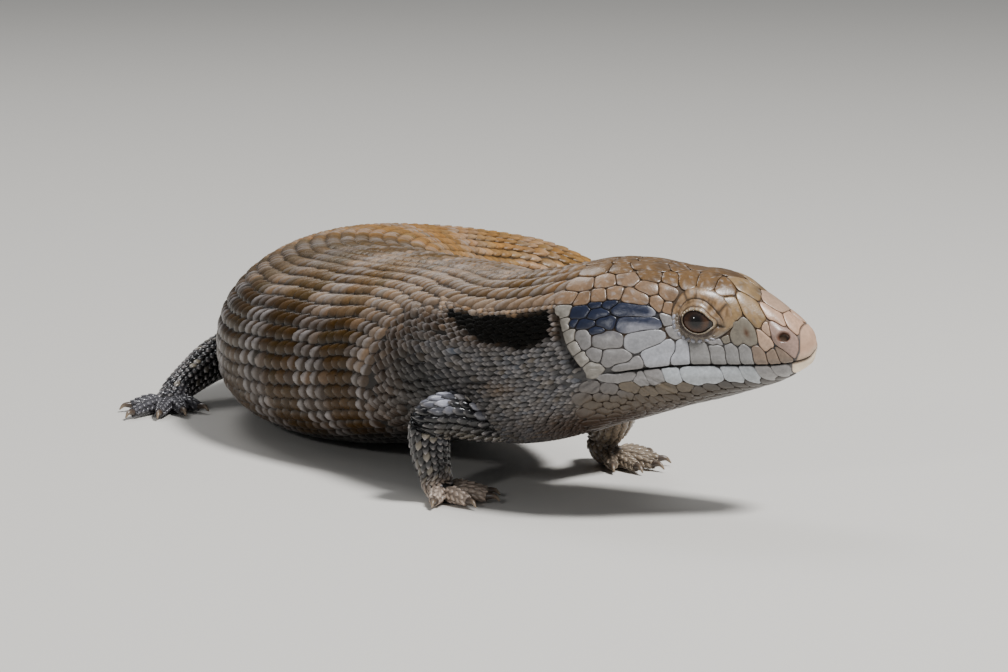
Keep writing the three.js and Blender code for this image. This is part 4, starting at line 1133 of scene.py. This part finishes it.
def lay_limb_scales(parts, name, tube):
    roots = tube_roots(tube, *LIMB_SCALES)
    along, across = roots.T[:2]
    tone = limb_tone(name, along, across, tube)
    # Pale free edges with painted glints, most on the forearm.
    worn = (0.7 + 0.7 * ramp(along, 22, 30)) * rng.uniform(0, 1, len(roots))
    uv = limb_unwrap(name, along, across, tube, 0.0, LIMB_STRIP)
    lay_scales(parts, tube.point, roots, SMALL_SCALE, tone, uv, -0.34, TONES["limb_black"], 0.5, worn,
               pale_edge_from=0.8)


def lay_toe_scales(parts, name, toe, start):
    roots = tube_roots(toe, *TOE_SCALES)
    along, across = roots.T[:2]
    tones = TONES[LIMBS[name]["toe_tone"]] * rng.uniform(0.75, 1.15, (len(roots), 1))
    uv = limb_unwrap(name, along, across, toe, start, TOE_STRIP)
    lay_scales(parts, toe.point, roots, SMALL_SCALE, tones, uv, -0.34, TONES["dark_gap"], 0.5, 0.1)


# The skin

# Rows beside the mouth line, in millimetres from it.
CLOSE_ROWS = np.array([-1.6, -1.1, -0.7, -0.4, -0.15, 0.15, 0.4, 0.7, 1.1, 1.6])
# How far from the line the plain rows start where the half girth is full, and that half girth.
CLOSE_REACH = 2.0
FULL_GIRTH = 72
# Behind the mouth the line goes on at this share of the half girth.
LINE_SHARE = 0.56


def body_rows():
    """Rows of the skin on one side: -1 to 0 from the crown to the mouth line, 0 to 1 below it, and
    a distance in millimetres from the line for the close rows beside it."""
    above, below = np.linspace(-1, 0, 38, endpoint=False), np.linspace(0, 1, 28)[1:]
    part = np.concatenate([above, 0 * CLOSE_ROWS, below])
    offset = np.concatenate([0 * above, CLOSE_ROWS, 0 * below])
    return part, offset


def skin_dents(along, across):
    """Hollows of the bare skin alone: the mouth line, the nostrils and the ears."""
    across = np.abs(across)
    lip = fall(along, MOUTH_CORNER - 5, MOUTH_CORNER + 1)
    dent = -0.9 * lip * bump(across - mouth_across(along), 0.32)
    dent = dent - 1.6 * bump(np.hypot(along - NOSTRIL[0], across - NOSTRIL[1]), 1.3)
    lean = math.radians(EAR["lean"])
    off_s, off_a = along - EAR["along"], across - EAR["across"]
    long = (off_a * math.cos(lean) - off_s * math.sin(lean)) / EAR["half_length"]
    wide = (off_s * math.cos(lean) + off_a * math.sin(lean)) / EAR["half_width"]
    inside = np.hypot(long, wide)
    return dent - 2.2 * fall(inside, 0.55, 1.25), inside


# Height of the bare skin over the plain flesh: on the body, between the shields, and at the tip.
SKIN_LIFT = -0.95
HEAD_SKIN_LIFT = -0.54
TIP_LIFT = -0.3
# Rings along a limb, toe or claw, and points round it.
LIMB_GRID = (60, 32)
TOE_GRID = (16, 16)
CLAW_GRID = (12, 14)


def lay_body_skin(parts):
    along = np.concatenate([
        np.linspace(0.25, 6, 30, endpoint=False), np.arange(6, 64, 0.55),
        np.arange(64, 300, 2.0), np.arange(300, BODY_LENGTH, 1.6), [BODY_LENGTH]])
    part, offset = body_rows()
    s = along[:, None]
    girth, fade = half_girth(s), ramp(s, 50, 75)
    line = mouth_across(s) * (1 - fade) + LINE_SHARE * girth * fade
    close = CLOSE_REACH * girth / FULL_GIRTH
    above = (line - close) * (1 + part)
    below = line + close + (girth - line - close) * part
    right = np.select([part < 0, offset != 0], [above, line + offset * girth / FULL_GIRTH], below)
    across = np.concatenate([-right[:, :0:-1], right], 1)
    s = np.broadcast_to(s, across.shape)
    dents, in_ear = skin_dents(s, across)
    lift = SKIN_LIFT + (HEAD_SKIN_LIFT - SKIN_LIFT) * fall(s, 56, 64)
    tip = tip_share(s, across)
    lift = lift + (TIP_LIFT - 0.3 * fall(s, 0.6, 3) - HEAD_SKIN_LIFT) * tip
    points = body_point(s, across, lift + dents)
    # The skin is darkest in the sutures of the head.
    chin = ramp(np.abs(across) - mouth_across(s), 0.6, 1.2) * fall(s, 48, 56)
    tones = skin_tone(s, across) * (0.36 + 0.26 * tip + 0.3 * chin - 0.2 * ramp(s, 60, 90))[..., None]
    # The mouth line is dark, and painted shade darkens the ear opening.
    near_mouth = bump(np.abs(across) - mouth_across(s), 0.5) * fall(s, MOUTH_CORNER - 2, MOUTH_CORNER + 2)
    dark = np.clip(near_mouth + fall(in_ear, 0.7, 1.3), 0, 1)
    tones = mix(tones, TONES["dark_gap"] * 0.4, dark)
    rows, columns = s.shape
    faces = grid_faces(rows, columns, closed=True)
    # The skin is open over the eyes.
    for side in (1, -1):
        centre = head_place(EYE["along"], side * EYE["lateral"], EYE["height"])
        inside = np.linalg.norm(points.reshape(-1, 3) - centre, axis=1) < EYE["radius"] + 0.1
        faces = faces[~inside[faces].any(1)]
    # Head and body have places of their own on the unwrapped skin, so the ring between them is
    # laid twice.
    on_head = s.ravel()[faces].mean(1) < HEAD_END
    for part in (True, False):
        parts.add(points, [faces[on_head == part][:, ::-1]], tones, body_unwrap(s, across, part))
    # The two ends.
    for row, flip in ((0, False), (rows - 1, True)):
        places, tone = (np.concatenate([values[row], values[row].mean(0, keepdims=True)])
                        for values in (points, tones))
        index = np.arange(columns)
        fan = np.stack([index, np.roll(index, -1), np.full(columns, columns)], 1)
        uv = body_unwrap(np.full(columns + 1, along[row]), np.append(across[row], 0), row == 0)
        parts.add(places, [fan if flip else fan[:, ::-1]], tone, uv)


def tube_form(tube, rings, turns, lift):
    """Points of a tube closed at both ends, with their places along it and round it, and its faces."""
    along = np.linspace(0, tube.length, rings)[:, None] + np.zeros(turns)
    turn = np.linspace(-1, 1, turns, endpoint=False) + np.zeros((rings, 1))
    points = tube.point(along, turn * math.pi * tube.radii(along), lift)
    places = np.concatenate([points.reshape(-1, 3), points[[0, -1]].mean(1)])
    return along, turn, places, capped_faces(rings, turns)


def lay_tube_skin(parts, tube, name, tone, start, share, grid, lift):
    along, turn, places, faces = tube_form(tube, *grid, lift)
    across = turn * math.pi * tube.radii(along)
    uv = limb_unwrap(name, np.append(along, [0, tube.length]), np.append(across, [0, 0]), tube, start, share)
    parts.add(places, faces, np.broadcast_to(tone, places.shape), uv)


# The lids and eyes

# Away from the opening as a share of the lids' reach: height of the upper and of the lower lid.
LID_FORM = [
    (-0.05, -0.6, -0.6), (-0.02, -0.1, -0.1), (0.0, 0.1, 0.1), (0.03, 0.22, 0.2), (0.08, 0.22, 0.18),
    (0.12, 0.02, 0.0), (0.15, -0.14, -0.12), (0.19, 0.04, -0.12), (0.26, 0.14, -0.08), (0.33, 0.14, -0.05),
    (0.39, 0.02, 0.0), (0.42, -0.2, 0.04), (0.45, -0.26, 0.05), (0.48, 0.08, 0.05), (0.55, 0.2, 0.05),
    (0.66, 0.16, 0.0), (0.78, 0.08, 0.0), (0.88, 0.02, -0.02), (0.95, -0.04, -0.08), (1.0, -0.3, -0.3),
]
# Where sutures cross the brow, as shares of half a turn from its rear end.
BROW_SUTURES = (0.16, 0.3, 0.46, 0.64, 0.8)
# How far the lids lie over the eyeball.
LID_FACE = 0.3


def eye_axes(side):
    """The centre of an eye and its directions: out of the head, towards the tail, and up."""
    centre = head_place(EYE["along"], side * EYE["lateral"], EYE["height"])
    out = np.append(to_right[eye_row] * side, 0)
    back = np.array([math.cos(courses[eye_row]), math.sin(courses[eye_row]), 0])
    return centre, out, back, np.array([0, 0, 1.0])


def upper_share(turn):
    """1 on the upper lid and 0 on the lower one, going over smoothly at the corners."""
    return ramp(np.sin(turn), -0.1, 0.4)


def lid_reach(turn):
    """How far the lids reach ahead of and behind the opening."""
    share = 0.5 + 0.5 * np.cos(turn)
    return SOCKET["ahead"] * (1 - share) + SOCKET["behind"] * share


def lid_points(side, turn, away, height):
    """Points on the lids: turn round the opening, away from its edge, height over its surface."""
    turn, away, height = same_shape(turn, away, height)
    centre, out, back, up = eye_axes(side)
    reach_up = np.where(np.sin(turn) > 0, SOCKET["reach_up"], SOCKET["reach_down"])
    corner = 0.7 * bump(np.cos(turn) + 1, 0.1)
    x = OPENING["back"] + (OPENING["half_length"] + corner + away * lid_reach(turn)) * np.cos(turn)
    z = OPENING["up"] + (OPENING["half_height"] + away * reach_up) * np.sin(turn)
    z = z + OPENING["tilt"] * x * fall(away, 0.5, 1.0)
    r = np.hypot(x, z)
    ball = EYE["radius"] + LID_FACE
    # Near its rim the ball goes on as a straight slope.
    over_ball = np.where(r < ball * 0.93, np.sqrt(np.maximum(ball ** 2 - r * r, 0.1)),
                         ball * (0.3676 - 2.53 * (r / ball - 0.93)))
    along = EYE["along"] + x
    across = np.array([across_at_height(s, h) for s, h in zip(along.ravel(), (EYE["height"] + z).ravel())])
    skin = body_point(along, side * across.reshape(along.shape), -0.1)
    from_middle = (skin - centre) @ out
    mixed = np.logaddexp(over_ball / 0.35, from_middle / 0.35) * 0.35
    return skin + out * (mixed - from_middle + height)[..., None]


def lay_lids(parts, side):
    turns = np.linspace(0, 2 * math.pi, OPENING["turns"], endpoint=False)[None, :]
    form = np.array(LID_FORM)
    away = form[:, :1]
    upper = upper_share(turns)
    height = form[:, 1:2] * upper + form[:, 2:3] * (1 - upper)
    # The brow tapers to its two ends, and a crease runs forwards from the front corner.
    brow = bump(turns - math.pi * 0.55, 1.25)
    height = np.where(away > 0.5, height * (upper * brow + (1 - upper)), height)
    crease = bump(turns - math.pi * 1.05, 0.12) * ramp(away, 0.03, 0.1) * fall(away, 0.4, 0.62)
    height = height - 0.5 * crease
    points = lid_points(side, turns, away, height)
    x = EYE["along"] + OPENING["back"] + (OPENING["half_length"] + away * lid_reach(turns)) * np.cos(turns)
    a = EYE_SPOT[1] - (OPENING["half_height"] + away * SOCKET["reach_down"]) * np.sin(turns)
    fine = wave_noise(x, a, 1.3, 21)
    front = mix(TONES["lid_band"] * 0.8, "caramel_pale", ramp(away, 0.2, 0.7))
    low = paint("lid_fold", ("lid", ramp(away, 0.36, 0.46)),
                (TONES["cheek"] * 0.8, ramp(away, 0.6, 1.0) * 0.6), (front, bump(turns - math.pi, 0.5)))
    # Over the brow: darker patches, and pale patches of frost with painted glints.
    worn = wave_noise(x, a, 2.4, 22) + 0.6 * wave_noise(x, a, 0.8, 23)
    high = paint("lid_band", ("brow", ramp(away, 0.44, 0.5)), ("caramel", 0.5 * ramp(away, 0.78, 0.98)),
                 (TONES["caramel"] * 0.75, 0.8 * ramp(worn, 0.1, 1.0)),
                 ("frost_and_glint", 0.5 * ramp(-worn, 0.2, 1.1)))
    tones = mix(low, high, upper) * (1 + 0.14 * fine[..., None])
    lines = 0.5 * upper * (bump(away - 0.335, 0.012) + bump(away - 0.6, 0.012) * brow)
    for share in BROW_SUTURES:
        across_brow = bump(turns - share * math.pi - 0.1 * away, 0.045)
        lines = lines + across_brow * ramp(away, 0.46, 0.5) * upper
    # Painted shade darkens the folds and the crease, and the lines are the brow's sutures.
    folds = bump(away - 0.15, 0.03) + upper * bump(away - 0.44, 0.022) + 0.7 * bump(away - 1.0, 0.04)
    rim = bump(away - 0.05, 0.035) * (0.35 + 0.55 * (1 - upper))
    # The inner side of the lids is in shadow.
    tones = paint(tones, (TONES["suture"] * 0.5, np.clip(folds + crease + lines, 0, 1) * 0.9),
                  ("lid_rim", 0.9 * rim), (TONES["dark_gap"] * 0.25, (away < 0.0) * 1.0))
    faces = grid_faces(len(form), OPENING["turns"], closed=True)
    uv = body_unwrap(x, side * a, True)
    parts.add(points, [faces if side < 0 else faces[:, ::-1]], tones, uv)


# Rows of bead-like scales: away from the opening, number all round, half length, half width,
# height, whether they are on the upper lid or on the lower one, and tone.
BEAD_ROWS = [
    (0.05, 26, 0.36, 0.28, 0.26, True, "lid_rim"),
    (0.3, 36, 0.34, 0.26, 0.12, False, "lid_fold"),
    (0.52, 34, 0.5, 0.4, 0.2, False, "lid"),
    (0.8, 28, 0.72, 0.56, 0.34, False, "frost"),
]
# The rings of a bead by their share of its size, from its sunk edge up to its top.
BEAD_RINGS = np.array([1.0, 0.86, 0.5])[:, None, None]
BEAD_TURNS = 8


def lay_lid_beads(parts, side):
    """Small bead-like scales in rings round the opening."""
    ring = np.linspace(0, 2 * math.pi, BEAD_TURNS, endpoint=False)[:, None]
    form = np.array(LID_FORM)
    last = 2 * BEAD_TURNS + np.arange(BEAD_TURNS)
    top = 3 * BEAD_TURNS
    faces = [grid_faces(3, BEAD_TURNS, closed=True),
             np.stack([last, np.roll(last, -1), np.full(BEAD_TURNS, top)], 1)]
    flat = np.concatenate([np.concatenate(BEAD_RINGS * np.concatenate([np.cos(ring), np.sin(ring)], 1)),
                           [[0, 0]]])
    for away, count, half_length, half_width, rise, above, bead_tone in BEAD_ROWS:
        for k in range(count):
            turn = 2 * math.pi * (k + 0.5 + 0.12 * rng.uniform(-1, 1)) / count
            upper = float(upper_share(turn))
            if (upper > 0.45) != above or (not above and math.cos(turn) < -0.72):
                continue
            height = float(np.interp(away, form[:, 0], form[:, 1] * upper + form[:, 2] * (1 - upper)))
            near = lid_points(side, turn + np.array([0, 0.03, 0]), away + np.array([0, 0, 0.01]), height)
            here = near[0]
            next_turn, outward = unit(near[1:] - here)
            normal = np.cross(outward, next_turn)
            normal *= np.sign(normal @ eye_axes(side)[1])
            disc = next_turn * np.cos(ring) * half_length + outward * np.sin(ring) * half_width
            lifts = np.array([-0.14, 0.35 * rise, 0.85 * rise])[:, None, None]
            rings = here + disc * BEAD_RINGS + normal * lifts
            points = np.concatenate([*rings, (here + normal * rise)[None]])
            tones = np.tile(TONES[bead_tone] * rng.uniform(0.7, 1.15), (top + 1, 1))
            tones[:BEAD_TURNS] = TONES["suture"]
            spot = body_unwrap(np.array([EYE["along"] + 6 * math.cos(turn)]),
                               np.array([side * (EYE_SPOT[1] - 5 * math.sin(turn))]), True)
            parts.add(points, faces, tones, spot + PATCH * 0.3 * flat)


def make_eye(name, side):
    """An eyeball with a brown iris and a round pupil under its clear front."""
    centre, out, back, up = eye_axes(side)
    gaze = unit(out + 0.07 * up - 0.06 * back)
    level = unit(np.cross(up, gaze))
    over = np.cross(gaze, level)
    # The rings are close where the iris is, and wide at the hidden rear.
    angle = np.radians(np.concatenate([np.linspace(0.5, 50, 54), np.linspace(53, 179.5, 30)]))[:, None]
    turn = np.linspace(0, 2 * math.pi, 72, endpoint=False)[None, :]
    ring = np.sin(angle) * EYE["radius"]
    points = centre + gaze * (np.cos(angle) * EYE["radius"])[..., None]
    points = points + level * (ring * np.cos(turn))[..., None] + over * (ring * np.sin(turn))[..., None]
    streaks = 0.5 + 0.5 * np.sin(turn * 23 + 2.2 * np.sin(turn * 7)) * np.sin(turn * 41)
    iris = paint("iris_dark", ("iris", ramp(ring, 1.2, 2.6) * (0.5 + 0.5 * streaks)),
                 (TONES["iris_dark"] * 0.6, ramp(ring, 2.9, 3.6)))
    # The upper lid shades the top of the iris.
    iris = iris * (1 - 0.7 * ramp(ring * np.sin(turn), -0.5, 2.4))[..., None]
    tones = paint(iris, ("pupil", fall(ring, 1.16, 1.24)), ("iris_dark", (np.cos(angle) < 0) * 1.0))
    flat = np.stack([np.cos(turn), np.sin(turn)], -1) * 0.48 * (angle / math.pi)[..., None] + 0.5
    parts = Parts()
    parts.add(points, [grid_faces(len(angle), turn.size, closed=True)], tones, flat)
    eyeball = parts.make(name + "_ball", eye_material)
    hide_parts(name)


def make_claw(name, rows, facing):
    claw = Tube(rows, facing)
    along, turn, places, faces = tube_form(claw, *CLAW_GRID, 0.0)
    share = along / claw.length
    tones = mix("claw_horn", "claw_tip", ramp(share, 0.35, 1.0)) * (1 + 0.12 * np.sin(turn * 9))[..., None]
    tones = np.concatenate([tones.reshape(-1, 3), tones[[0, -1], 0]])
    flat = np.stack([0.05 + 0.9 * share, 0.5 + 0.45 * turn], -1).reshape(-1, 2)
    parts = Parts()
    parts.add(places, faces, tones, np.concatenate([flat, [[0.02, 0.5], [0.98, 0.5]]]))
    piece = parts.make(name + "_horn", claw_material)
    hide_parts(name)


# Materials

def fill(tree, node, inputs):
    """Puts values or other nodes' outputs into the sockets of a node."""
    for name, value in inputs.items():
        if isinstance(value, bpy.types.NodeSocket):
            tree.links.new(value, node.inputs[name])
        else:
            node.inputs[name].default_value = value


def add_node(tree, kind, settings, inputs):
    """Adds a node with its own settings, and with values or other nodes' outputs in its sockets."""
    node = tree.nodes.new(kind)
    for name, value in settings.items():
        setattr(node, name, value)
    fill(tree, node, inputs)
    return node.outputs


def marked_material(name, roughness, coat, mottle_mm, grain_mm, grain_height, mottle=0.12, ior=1.54,
                    specular=0.5, coat_roughness=0.22):
    """A material that carries the markings, with a mottling and a fine grain of real sizes."""
    material = bpy.data.materials.new(name)
    material.use_nodes = True
    tree = material.node_tree
    marks = add_node(tree, "ShaderNodeAttribute", {"attribute_name": "markings"}, {})["Color"]
    place = add_node(tree, "ShaderNodeTexCoord", {}, {})["Object"]
    mottling = add_node(tree, "ShaderNodeTexNoise", {}, {
        "Vector": place, "Scale": 1 / (mottle_mm * MM), "Detail": 4.0, "Roughness": 0.6})
    strength = add_node(tree, "ShaderNodeMapRange", {}, {
        "Value": mottling["Fac"], "From Min": 0.3, "From Max": 0.7,
        "To Min": 1 - mottle, "To Max": 1 + mottle})
    shade = add_node(tree, "ShaderNodeVectorMath", {"operation": "SCALE"}, {
        0: marks, "Scale": strength["Result"]})
    grain = add_node(tree, "ShaderNodeTexNoise", {}, {
        "Vector": place, "Scale": 1 / (grain_mm * MM), "Detail": 3.0})
    raised = add_node(tree, "ShaderNodeBump", {}, {
        "Height": grain["Fac"], "Strength": 0.5, "Distance": grain_height * MM})
    fill(tree, tree.nodes["Principled BSDF"], {
        "Roughness": roughness, "IOR": ior, "Specular IOR Level": specular, "Coat Weight": coat,
        "Coat Roughness": coat_roughness, "Base Color": shade[0], "Normal": raised["Normal"]})
    return material


# Bare skin between the scales: dry, dull and darker than they are.
skin_material = marked_material("dry_reptile_skin", 0.72, 0.0, 1.6, 0.35, 0.12)
# Smooth keratin, as polished by wear: a soft shine on each scale's crown over a fine grain.
scale_material = marked_material("smooth_keratin_scale", 0.36, 0.05, 0.9, 0.45, 0.12, mottle=0.2, ior=1.46,
                                 specular=0.25)
# The black patch of the neck is soft and dull, so it stays dark in any light; its black is deepened by
# painted shade.
black_material = marked_material("dull_black_keratin", 0.6, 0.0, 0.9, 0.3, 0.05, specular=0.08)
# The head's keratin plates are thicker and flatter, so they shine more evenly.
shield_material = marked_material("keratin_head_shield", 0.34, 0.12, 0.8, 0.45, 0.1, mottle=0.16)
# Black limb scales are the glossiest, with small hard lights.
limb_material = marked_material("glossy_black_keratin", 0.2, 0.55, 0.8, 0.4, 0.06, specular=0.3)
# Moist eye: a dark iris seen through a clear and very smooth front.
eye_material = marked_material("moist_eye", 0.5, 0.7, 0.6, 0.5, 0.0, mottle=0.2, specular=0.15,
                               coat_roughness=0.02)
# Horn: hard, slightly see-through keratin, paler to its worn tip.
claw_material = marked_material("claw_horn", 0.35, 0.1, 0.5, 0.2, 0.02)


# The camera stands where the photograph was taken from.
CAMERA = {"elevation": 9.0, "distance": 1196.0, "aim": (0.0, 0.0, 45.8), "lens": 161.57, "sensor": 36.0}
camera_data = bpy.data.cameras.new("camera")
camera_data.lens = CAMERA["lens"]
camera_data.sensor_width = CAMERA["sensor"]
camera_data.sensor_fit = "HORIZONTAL"
camera_data.clip_start = 0.05
camera_data.clip_end = 20
camera = add_object("camera", camera_data)
lean = math.radians(CAMERA["elevation"])
aim = np.array(CAMERA["aim"]) + shift
stand = aim + CAMERA["distance"] * np.array([0, -math.cos(lean), math.sin(lean)])
camera.location = tuple(stand * MM)
camera.rotation_euler = (math.pi / 2 - lean, 0, 0)
bpy.context.scene.camera = camera

# Build the animal.

flesh_nodes = ["head", "neck", "shoulders", "trunk_front", "trunk_middle", "trunk_rear", "loin", "hips",
               "tail_base", "tail_middle", "tail_end", "tail_tip"]
skin_parts = Parts()
lay_body_skin(skin_parts)
shield_parts = Parts()
shield_seeds, plate_seeds = on_both_sides(SHIELDS), on_both_sides(throat_seeds())
all_seeds = shield_seeds + plate_seeds
lay_shields(shield_parts, shield_seeds, SHIELD_TURNS)
throat_parts = Parts()
lay_shields(throat_parts, plate_seeds, PLATE_TURNS)
toe_parts = Parts()
for limb_name, limb in LIMBS.items():
    tube = Tube(limb["path"], limb["facing"])
    # The far forelimb's skin is painted paler, as painted light.
    tone = TONES["painted_lit_toe"] * 0.5 if limb_name == "front_left" else TONES["limb_black"]
    lay_tube_skin(skin_parts, tube, limb_name, tone, 0.0, LIMB_STRIP, LIMB_GRID, -0.62)
    limb_parts = Parts()
    lay_limb_scales(limb_parts, limb_name, tube)
    limb_parts.make(f"{limb_name}_scales", limb_material)
    flesh_nodes += [f"{limb_name}_{part}" for part in LIMB_NODES[limb_name.split("_")[0]]]
    toe_tone = TONES[limb["toe_tone"]] * 0.5
    for i, tip in enumerate(limb["tips"]):
        toe, claw, direction = toe_rows(limb["palm"], tip)
        toe_tube = Tube(toe, direction)
        strip = TOE_STRIPS_START + TOE_STRIP_STEP * i
        lay_tube_skin(skin_parts, toe_tube, limb_name, toe_tone, strip, TOE_STRIP, TOE_GRID, -0.45)
        lay_toe_scales(toe_parts, limb_name, toe_tube, strip)
        make_claw(f"{limb_name}_claw_{i + 1}", claw, direction)
for side in (1, -1):
    lay_lids(shield_parts, side)
    lay_lid_beads(shield_parts, side)

skin = skin_parts.make("skin", skin_material)
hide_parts(*flesh_nodes)
shield_parts.make("head_shields", shield_material)
toe_parts.make("toe_scales", limb_material)
throat_parts.make("throat_plates", shield_material)
broad_roots, side_roots = back_roots(), flank_roots()
high = np.abs(broad_roots[:, 1]) < 38
in_patch = neck_patch(side_roots[:, 0], side_roots[:, 1]) > 0.5
plain_roots = side_roots[~in_patch]
# Name, roots and form of the scales, from and to along the spine, strength of the grooves between
# them, frost with painted glints, and material.
for row in (
    ("back_scales", broad_roots[high], BROAD_SCALE, 0, 300, 0.9, 0.4, scale_material),
    ("flank_scales", broad_roots[~high], BROAD_SCALE, 0, 300, 0.9, 0.6, scale_material),
    ("neck_patch_scales", side_roots[in_patch], SMALL_SCALE, 0, 100, 0.3, 0.0, black_material),
    ("neck_scales", plain_roots, SMALL_SCALE, 0, 90, 0.5, 0.38, scale_material),
    ("shoulder_scales", plain_roots, SMALL_SCALE, 90, 128, 0.6, 0.3, scale_material),
    ("belly_scales", plain_roots, SMALL_SCALE, 128, 300, 0.6, 0.1, scale_material),
    ("tail_scales", tail_roots(), SMALL_SCALE, 280, 450, 0.7, 0.2, scale_material),
):
    lay_body_scales(*row)
make_eye("eye_right", 1)
make_eye("eye_left", -1)

# Floor and light.

# In metres.
FLOOR_SIZE = 6.0
floor_mesh = bpy.data.meshes.new("floor")
corners = [(x * FLOOR_SIZE / 2, y * FLOOR_SIZE / 2, 0) for x, y in ((-1, -1), (1, -1), (1, 1), (-1, 1))]
floor_mesh.from_pydata(corners, [], [(0, 1, 2, 3)])
floor = add_object("floor", floor_mesh)
paper = bpy.data.materials.new("pale_studio_paper")
paper.use_nodes = True
fill(paper.node_tree, paper.node_tree.nodes["Principled BSDF"], {
    "Base Color": (*linear("#d9d6d0"), 1), "Roughness": 0.9})
floor_mesh.materials.append(paper)

# Name, place in metres, size in metres, power in watts.
LAMPS = [
    ("key_light", (0.6, -0.5, 1.35), 0.3, 33.0),
    ("fill_light", (-0.52, -1.2, 0.52), 0.1, 2.2),
    ("rim_light", (-0.5, 0.8, 1.1), 0.6, 5.0),
]
for lamp_name, place, size, power in LAMPS:
    lamp_data = bpy.data.lights.new(lamp_name, "AREA")
    lamp_data.energy = power
    lamp_data.size = size
    lamp = add_object(lamp_name, lamp_data)
    lamp.location = place
    towards = np.array([0, 0, 0.03]) - np.array(place)
    flat = math.hypot(towards[0], towards[1])
    lamp.rotation_euler = (math.atan2(flat, -towards[2]), 0, math.atan2(towards[1], towards[0]) - math.pi / 2)
sky = bpy.data.worlds.new("soft_studio")
sky.use_nodes = True
fill(sky.node_tree, sky.node_tree.nodes["Background"], {
    "Color": (*linear("#dfe3e8"), 1), "Strength": 0.2})
bpy.context.scene.world = sky
